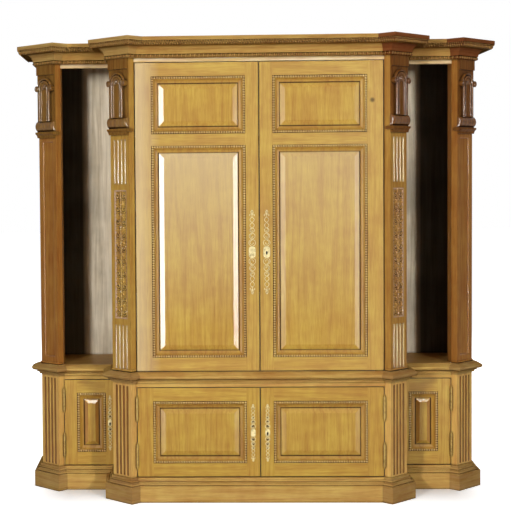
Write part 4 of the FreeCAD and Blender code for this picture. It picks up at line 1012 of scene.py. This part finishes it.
def vine_relief(width, height, tiers, relief):
    """Height over a panel: the most of rounded strokes along a stem and scroll pairs, leaves and rosettes.

    A stroke's height is relief * sqrt(1 - (d / w)^2) at distance d from its line.
    """
    tier = height / tiers
    columns, rows = 49, 31
    x = np.linspace(-width / 2, width / 2, columns)
    z = np.linspace(0, tier, rows)
    x, z = np.meshgrid(x, z)
    lines = []
    for shift in (-tier, 0, tier):
        for sign in (-1, 1):
            curl = spiral((0, 0), *SCROLL_RADII, HALF_TURN, SCROLL_TURNS, 70)
            across = sign * (SCROLL_MIDDLE + curl[:, 0])
            lines.append(np.column_stack([across, tier * 0.5 + curl[:, 1] + shift]))
        lines.append(np.column_stack([np.zeros(30), np.linspace(0, tier, 30) + shift]))
    line = np.concatenate(lines)
    gap = np.sqrt(((x[..., None] - line[:, 0]) ** 2 + (z[..., None] - line[:, 1]) ** 2).min(-1))
    level = STEM_SHARE * np.sqrt(np.clip(1 - (gap / STEM_HALF) ** 2, 0, 1))
    leaves = [(sign * across, rise * tier, turn * sign) for sign in (-1, 1)
              for across, rise, turn in VINE_LEAVES]
    for across, rise, turn in leaves:
        for shift in (-tier, 0, tier):
            u = (x - across) * math.cos(turn) + (z - rise - shift) * math.sin(turn)
            v = (z - rise - shift) * math.cos(turn) - (x - across) * math.sin(turn)
            leaf = np.sqrt(np.clip(1 - (u / LEAF_HALF[0]) ** 2 - (v / LEAF_HALF[1]) ** 2, 0, 1))
            level = np.maximum(level, leaf * (0.75 + 0.25 * np.cos(v * 1.5)))
    for shift in (0, tier):
        around = np.hypot(x, z - shift)
        reach = ROSETTE_RADIUS * (1 + 0.22 * np.cos(ROSETTE_PETALS * np.arctan2(z - shift, x)))
        level = np.maximum(level, np.sqrt(np.clip(1 - (around / reach) ** 2, 0, 1)))
    level = np.tile(level[:-1], (tiers, 1)) * relief
    level = np.concatenate([level, level[:1]])
    fade = np.ones_like(level)
    fade[[0, -1]] = 0
    fade[:, [0, -1]] = 0
    x, z = np.meshgrid(np.linspace(0, width, columns), np.linspace(0, height, len(level)))
    return np.stack([x, z, level * fade + VINE_LIFT], -1).reshape(-1, 3), grid_faces(*level.shape)


def flute_row(bottom, top):
    """Hollow flutes: depth = most * sqrt(1 - (x / r)^2 - (e / r)^2), e being the reach into a round end."""
    x = FLUTE_RADIUS * np.sin(np.linspace(-HALF_TURN / 2, HALF_TURN / 2, 9))
    head = FLUTE_RADIUS * (1 - np.sin(np.linspace(HALF_TURN / 2, 0, 6)))
    z = np.concatenate([bottom + head, top - head[::-1]])
    x, z = np.meshgrid(x, z)
    end = np.maximum(np.maximum(bottom + FLUTE_RADIUS - z, z - top + FLUTE_RADIUS), 0)
    depth = FLUTE_DEPTH * np.sqrt(np.clip(1 - (x ** 2 + end ** 2) / FLUTE_RADIUS ** 2, 0, 1))
    hollow = np.stack([x, z, FLUTE_LIFT - FLUTE_SHARE * depth], -1).reshape(-1, 3), grid_faces(*x.shape)
    first = POST_MIDDLE - FLUTE_PITCH * (FLUTE_COUNT - 1) / 2
    origins = np.zeros((FLUTE_COUNT, 3))
    origins[:, 0] = first + FLUTE_PITCH * np.arange(FLUTE_COUNT)
    return repeat(hollow, origins, np.tile(np.eye(3), (FLUTE_COUNT, 1, 1)))


def post_foot(edge, tip, jamb):
    """A half-round band round the foot of a post, mitred at its tip and stopped short of the door."""
    path = np.array([edge, tip, np.add(tip, FOOT_STOP * np.subtract(jamb, tip))])
    outward = math.sqrt(0.5) * np.array([(-1, -1), (0, -2), (1, -1)])
    path = np.concatenate([path, np.full((3, 1), WAIST_TOP + FOOT_HALF)], 1)
    outward = np.concatenate([outward, np.zeros((3, 1))], 1)
    down = np.tile([0.0, 0.0, -1.0], (3, 1))
    return sweep(path, down, outward, half_round(FOOT_HALF, FOOT_HALF))


class CarvePosts(bpy.types.Operator):
    """Cut the flutes and vines of the posts, the bands at their feet and the edges of their panels"""

    bl_idname = "cabinet.carve_posts"
    bl_label = "Carve the posts"

    def execute(self, context):
        size = sizes_of(context)
        left, right = PANEL_MARGIN, POST_WIDTH - PANEL_MARGIN
        bottom, top = CARVED_PANEL
        inner, outer = post_face(INNER_EDGE), post_face(OUTER_EDGE)
        vine = vine_relief(right - left, top - bottom, size["vine_tiers"], size["relief"])
        base_flutes = flute_row(*BASE_FLUTES)
        inner_edge, outer_edge = (edge_moulding((left, low), (right, high), PANEL_SINK)
                                  for low, high in (CARVED_PANEL, PLAIN_PANEL))
        groups = (
            ("vine_panel", [laid(vine, inner, (left, bottom, -PANEL_SINK))], "carved_oak"),
            ("base_flutes", [laid(base_flutes, inner), laid(base_flutes, outer)], "shaded_flute_oak"),
            ("inner_flutes", [laid(flute_row(*levels), inner) for levels in (FOOT_FLUTES, HEAD_FLUTES)],
             "flute_highlight_oak"),
            ("inner_foot", [post_foot(INNER_EDGE, INNER_TIP, INNER_JAMB)], "carved_oak"),
            ("outer_foot", [post_foot(OUTER_EDGE, OUTER_TIP, OUTER_JAMB)], "outer_post_oak"),
            ("inner_panel_edge", [laid(inner_edge, inner)], "post_oak"),
            ("outer_panel_edge", [laid(outer_edge, outer)], "rubbed_edge_oak"),
        )
        for label, parts, finish in groups:
            for side, made in both_sides(parts):
                finish_piece(f"{label}_{side}", made, finish_named(finish), "carcase")
        return {"FINISHED"}


def key_plate(half_width, half_height, thickness, hole):
    """A plate from a key hole's outline to a squared oval, |x/a|^4 + |z/b|^4 = 1, over angle and radius."""
    angle = np.linspace(0, FULL_TURN, 48, endpoint=False)
    cosine, sine = np.cos(angle), np.sin(angle)
    reach = (np.abs(cosine) ** 4 + np.abs(sine) ** 4) ** -0.25
    outer = np.stack([half_width * reach * cosine, half_height * reach * sine], -1)
    inner = np.stack([KEY_EYE * cosine, np.where(sine < 0, KEY_SLOT, KEY_EYE) * sine], -1)
    inner = inner * (1 if hole else 0.02)
    rings = []
    for share, level in ((0, -0.5), (0, thickness * 0.9), (0.08, thickness), (0.9, thickness),
                         (1, thickness * 0.6), (1, -0.5)):
        flat = inner + share * (outer - inner)
        rings.append(np.concatenate([flat, np.full((len(flat), 1), level)], 1))
    return np.concatenate(rings), grid_faces(len(rings), len(angle), close_columns=True)


def fret_lines(stretch):
    """The pierced work above the plate: rings with scrolls in them, crossed stems and a sprig at the tip."""
    lines = []
    for middle, radius in FRET_RINGS:
        lines.append((circle((0, middle), radius), True))
        lines.append((spiral((0, middle), radius * 0.75, radius * 0.3, HALF_TURN / 2, 0.8, 20), False))
    rise = np.linspace(*STEM_LEVELS, 34)
    tip = np.linspace(0, 1, 12)
    for sign in (-1, 1):
        wave = sign * STEM_SWING * np.sin((rise - STEM_LEVELS[0]) / STEM_HALF_WAVE * HALF_TURN)
        lines.append((np.column_stack([wave, rise]), False))
        start = HALF_TURN * (0.5 + 0.5 * sign)
        lines.append((spiral((sign * 8, 190), 8, 2.5, start, -sign * 0.8, 20), False))
        lines.append((np.column_stack([sign * 6 * np.sin(tip * HALF_TURN), 196 + 22 * tip]), False))
    lines.append((np.column_stack([np.zeros(8), np.linspace(178, 216, 8)]), False))
    return [(line * (1, stretch), closed) for line, closed in lines]


class FretEscutcheons(bpy.types.Operator):
    """Saw the pierced brass escutcheons of the six doors"""

    bl_idname = "cabinet.fret_escutcheons"
    bl_label = "Saw the brass escutcheons"

    def execute(self, context):
        wire = half_round(sizes_of(context)["fret_wire"], FRET_HEIGHT, seat=0.3)
        half_width, half_height, thickness = KEY_PLATE
        brass, dust, wax = map(finish_named, ("polished_brass", "key_hole_shadow", "wax_and_painted_shade"))
        for door, (face_y, middle_x, key_height, half_length, breadth) in ESCUTCHEONS.items():
            face = front_face(middle_x, face_y, key_height)
            stretch = half_length / FULL_FRET
            frets = []
            for line, closed in fret_lines(stretch):
                line = line * (breadth, 1)
                frets.append(stroke(line, face, wire, closed))
                frets.append(stroke(line[::-1] * (1, -1), face, wire, closed))
            pins = np.array([(0, sign * PIN_REACH * stretch, PIN_LEVEL) for sign in (-1, 1)])
            heads = laid(repeat(ball(*PIN_HEAD), pins, np.tile(np.eye(3), (len(pins), 1, 1))), face)
            eyes = []
            for sign in (-1, 1):
                for middle, radius in FRET_RINGS:
                    half = EYE_SHARE * radius
                    eye = ball(half * breadth, half * stretch, 0.5, segments=12)
                    eyes.append(laid(eye, face, (0, sign * middle * stretch, 0)))
            # Painted shade: a dark ball fills the key hole
            hole = laid(ball(*KEY_HOLE, segments=16), face, KEY_HOLE_PLACE)
            for side in ("left", "right"):
                body = f"{door}_{side}_door"
                pierced = side == "right" or door == "side"
                plate = key_plate(half_width * breadth, half_height * stretch, thickness, pierced)
                made = dict(both_sides([laid(plate, face), *frets, heads]))[side]
                finish_piece(f"{door}_{side}_brass_fret", made, brass, body,
                             [f"{door}_{side}_escutcheon"])
                if door != "upper":
                    made = dict(both_sides(eyes))[side]
                    finish_piece(f"{door}_{side}_fret_eyes", made, wax, body)
                if pierced:
                    made = dict(both_sides([hole]))[side]
                    finish_piece(f"{door}_{side}_key_hole", made, dust, body)
        return {"FINISHED"}


# Camera fitted to the photograph's frame of 511 by 532
IMAGE_SIZE = (511, 532)
FOCAL_PIXELS = 1340.1
PRINCIPAL_POINT = (127.5, 238.8)
CAMERA_PLACE = (-0.4422, -7.2224, 1.646)
CAMERA_YAW = 0.0345
CAMERA_PITCH = -0.0398
CAMERA_ROLL = 0.0092
SENSOR_WIDTH = 36.0
VIEW_REACH = 200
BRASS_FINISHES = ("polished_brass", "worn_brass", "browned_brass")
WHITE = (1, 1, 1, 1)
FLOOR_REACH = 40
FAINT_LIGHT = 0.03

# Each lamp: name, place, target, width and height in metres, watts, and whether matt and glossy wood see it
LAMPS = (
    ("key_left", (-2.95, -6.6, 2.5), (0, 0, 1.3), (0.45, 0.9), 284, True, True),
    ("key_right", (2.85, -6.6, 2.5), (0, 0, 1.3), (0.45, 0.9), 228, True, True),
    ("strip_left", (-3.2, -3.5, 1.3), (0, -0.3, 1.3), (0.4, 2.6), 700, False, True),
    ("strip_right", (3.2, -3.5, 1.0), (0, -0.3, 1.0), (0.4, 2.2), 560, False, True),
    ("bank_left", (-1.2, -4.4, 4.75), (-0.9, 0, 0.5), (0.5, 0.35), 135, False, True),
    ("bank_right", (1.73, -4.4, 4.75), (0.9, 0, 0.5), (0.5, 0.35), 135, False, True),
    ("reflector", (0.5, -8.2, 1.0), (0, -0.3, 1.3), (2.8, 2.1), 24, False, True),
    ("behind", (0.8, 7.0, 3.2), (0, 0.4, 1.2), (2.0, 1.5), 260, True, False),
)


class SetStage(bpy.types.Operator):
    """Lay the pale floor, hang the lights and set the camera"""

    bl_idname = "cabinet.set_stage"
    bl_label = "Set the stage"

    def execute(self, context):
        scene = context.scene
        scene.view_settings.view_transform = "Standard"
        self.floor(scene)
        self.sky(scene)
        self.lamps(scene)
        self.camera(scene)
        return {"FINISHED"}

    @staticmethod
    def seen_directly(tree):
        """One where the camera, a mirror or glass looks at the surface, and nought for its own light."""
        path = add(tree, "ShaderNodeLightPath").outputs
        seen = calculate(tree, "MAXIMUM", path["Is Camera Ray"], path["Is Glossy Ray"])
        return calculate(tree, "MAXIMUM", seen, path["Is Transmission Ray"])

    def floor(self, scene):
        """A flat square grid, white paper that keeps a soft shadow near the cabinet, and painted shadow
        where the plinth meets it and before the side bays.
        """
        reach = np.linspace(-FLOOR_REACH, FLOOR_REACH, 9)
        x, y = np.meshgrid(reach, reach)
        points = np.stack([x, y, 0 * x], -1).reshape(-1, 3)
        mesh = bpy.data.meshes.new("floor")
        mesh.from_pydata(points.tolist(), [], grid_faces(*x.shape).tolist())
        material = bpy.data.materials.new("white_paper")
        material.use_nodes = True
        tree = material.node_tree
        tree.nodes.clear()
        seen = self.seen_directly(tree)
        tone = blended(tree, seen, linear("#808080"), linear("#ffffff"))
        paper = add(tree, "ShaderNodeBsdfDiffuse", {"Color": tone}).outputs[0]
        place = add(tree, "ShaderNodeTexCoord").outputs["Object"]
        axes = axes_of(tree, place)
        # The paper glows less near the cabinet but not behind it, so the lamps' shadows show; painted shadow
        # darkens it most where the plinth meets it
        away = add(tree, "ShaderNodeVectorMath", {0: place}, operation="LENGTH").outputs["Value"]
        near = mapped(tree, away, 1.3, 2.4, 0.78, 1.0)
        behind = mapped(tree, axes["Y"], -0.05, 0.12, 0.0, 1.0)
        strength = calculate(tree, "MAXIMUM", near, behind)
        painted_contact_shadow = cornered(tree, 350, [(0.22, 0.4), (0.66, 1.0)], samples=16)
        # Painted shadow: the side bays stand back between the posts, so the paper before them is painted
        # greyer
        across = calculate(tree, "ABSOLUTE", axes["X"])
        bay_shadow = mapped(tree, across, 0.7, 0.8, 0.0, 1.0)
        for edge in (mapped(tree, across, 1.02, 1.2, 1.0, 0.0),
                     mapped(tree, axes["Y"], -0.38, -0.08, 0.0, 0.72),
                     calculate(tree, "SUBTRACT", 1.0, behind)):
            bay_shadow = calculate(tree, "MULTIPLY", bay_shadow, edge)
        for factor in (painted_contact_shadow, calculate(tree, "SUBTRACT", 1.0, bay_shadow), seen):
            strength = calculate(tree, "MULTIPLY", strength, factor)
        glow = add(tree, "ShaderNodeEmission", {"Color": WHITE, "Strength": strength}).outputs[0]
        mixed = add(tree, "ShaderNodeAddShader", {0: paper, 1: glow}).outputs[0]
        add(tree, "ShaderNodeOutputMaterial", {0: mixed})
        mesh.materials.append(material)
        floor = bpy.data.objects.new("floor", mesh)
        scene.collection.objects.link(floor)

    def sky(self, scene):
        """A white surround that lights the cabinet only faintly."""
        world = bpy.data.worlds.new("white_surround")
        world.use_nodes = True
        tree = world.node_tree
        tree.nodes.clear()
        dim, white = (add(tree, "ShaderNodeBackground", {"Color": WHITE, "Strength": strength}).outputs[0]
                      for strength in (FAINT_LIGHT, 1.0))
        mixed = add(tree, "ShaderNodeMixShader", {0: self.seen_directly(tree), 1: dim, 2: white}).outputs[0]
        add(tree, "ShaderNodeOutputWorld", {0: mixed})
        scene.world = world

    def lamps(self, scene):
        """Two keys by the camera and one lamp behind; the others show only as reflections in the wax."""
        # The brass reflects only its surroundings, because the lamps' own images would burn it out
        bright = bpy.data.collections.new("polished_brass_pieces")
        for piece in scene.objects:
            worn = piece.data.materials[:1] if piece.type == "MESH" else []
            if worn and worn[0].name in BRASS_FINISHES:
                bright.objects.link(piece)
        for entry in bright.collection_objects:
            entry.light_linking.link_state = "EXCLUDE"
        for name, place, target, (width, height), power, lights_matt, shines in LAMPS:
            light = bpy.data.lights.new(name, "AREA")
            light.shape = "RECTANGLE"
            light.size = width
            light.size_y = height
            light.energy = power
            lamp = bpy.data.objects.new(name, light)
            lamp.location = place
            lamp.visible_diffuse = lights_matt
            lamp.visible_glossy = shines
            lamp.light_linking.receiver_collection = bright
            aim = Vector(target) - Vector(place)
            lamp.rotation_euler = aim.to_track_quat("-Z", "Y").to_euler()
            scene.collection.objects.link(lamp)

    def camera(self, scene):
        """The photograph's own viewpoint: yaw, then pitch, then roll, looking along +Y at rest."""
        data = bpy.data.cameras.new("camera")
        long_side = max(IMAGE_SIZE)
        data.sensor_fit = "AUTO"
        data.sensor_width = SENSOR_WIDTH
        data.lens = FOCAL_PIXELS * SENSOR_WIDTH / long_side
        data.shift_x = (IMAGE_SIZE[0] / 2 - PRINCIPAL_POINT[0]) / long_side
        data.shift_y = (PRINCIPAL_POINT[1] - IMAGE_SIZE[1] / 2) / long_side
        data.clip_end = VIEW_REACH
        turn = (Matrix.Rotation(CAMERA_YAW, 3, "Z") @ Matrix.Rotation(CAMERA_PITCH, 3, "X")
                @ Matrix.Rotation(CAMERA_ROLL, 3, "Y"))
        stand = Matrix.Rotation(HALF_TURN / 2, 3, "X")
        camera = bpy.data.objects.new("camera", data)
        camera.matrix_world = Matrix.Translation(CAMERA_PLACE) @ (turn @ stand).to_4x4()
        scene.collection.objects.link(camera)
        scene.camera = camera


OPERATORS = (FinishWoodwork, CarveCornice, RuleMouldings, BeadPanels, CarveCorbels, CarvePosts,
             FretEscutcheons, SetStage)


class CabinetPanel(bpy.types.Panel):
    """The cabinet's steps and settings"""

    bl_idname = "VIEW3D_PT_library_cabinet"
    bl_label = "Library cabinet"
    bl_space_type = "VIEW_3D"
    bl_region_type = "UI"
    bl_category = "Cabinet"

    def draw(self, context):
        settings = context.scene.library_cabinet
        for group in (settings.sizes, settings.finishes):
            for name in group.__annotations__:
                self.layout.prop(group, name)
        for step in OPERATORS:
            self.layout.operator(step.bl_idname)


CLASSES = (CabinetSizes, CabinetFinishes, CabinetScene, *OPERATORS, CabinetPanel)


def register():
    """Add the classes and the scene's settings."""
    for kind in CLASSES:
        bpy.utils.register_class(kind)
    bpy.types.Scene.library_cabinet = PointerProperty(type=CabinetScene)


def unregister():
    """Take the settings and the classes out again."""
    del bpy.types.Scene.library_cabinet
    for kind in reversed(CLASSES):
        bpy.utils.unregister_class(kind)


def main():
    """Run every step."""
    register()
    for step in OPERATORS:
        group, name = step.bl_idname.split(".")
        getattr(getattr(bpy.ops, group), name)()


if __name__ == "__main__":
    main()
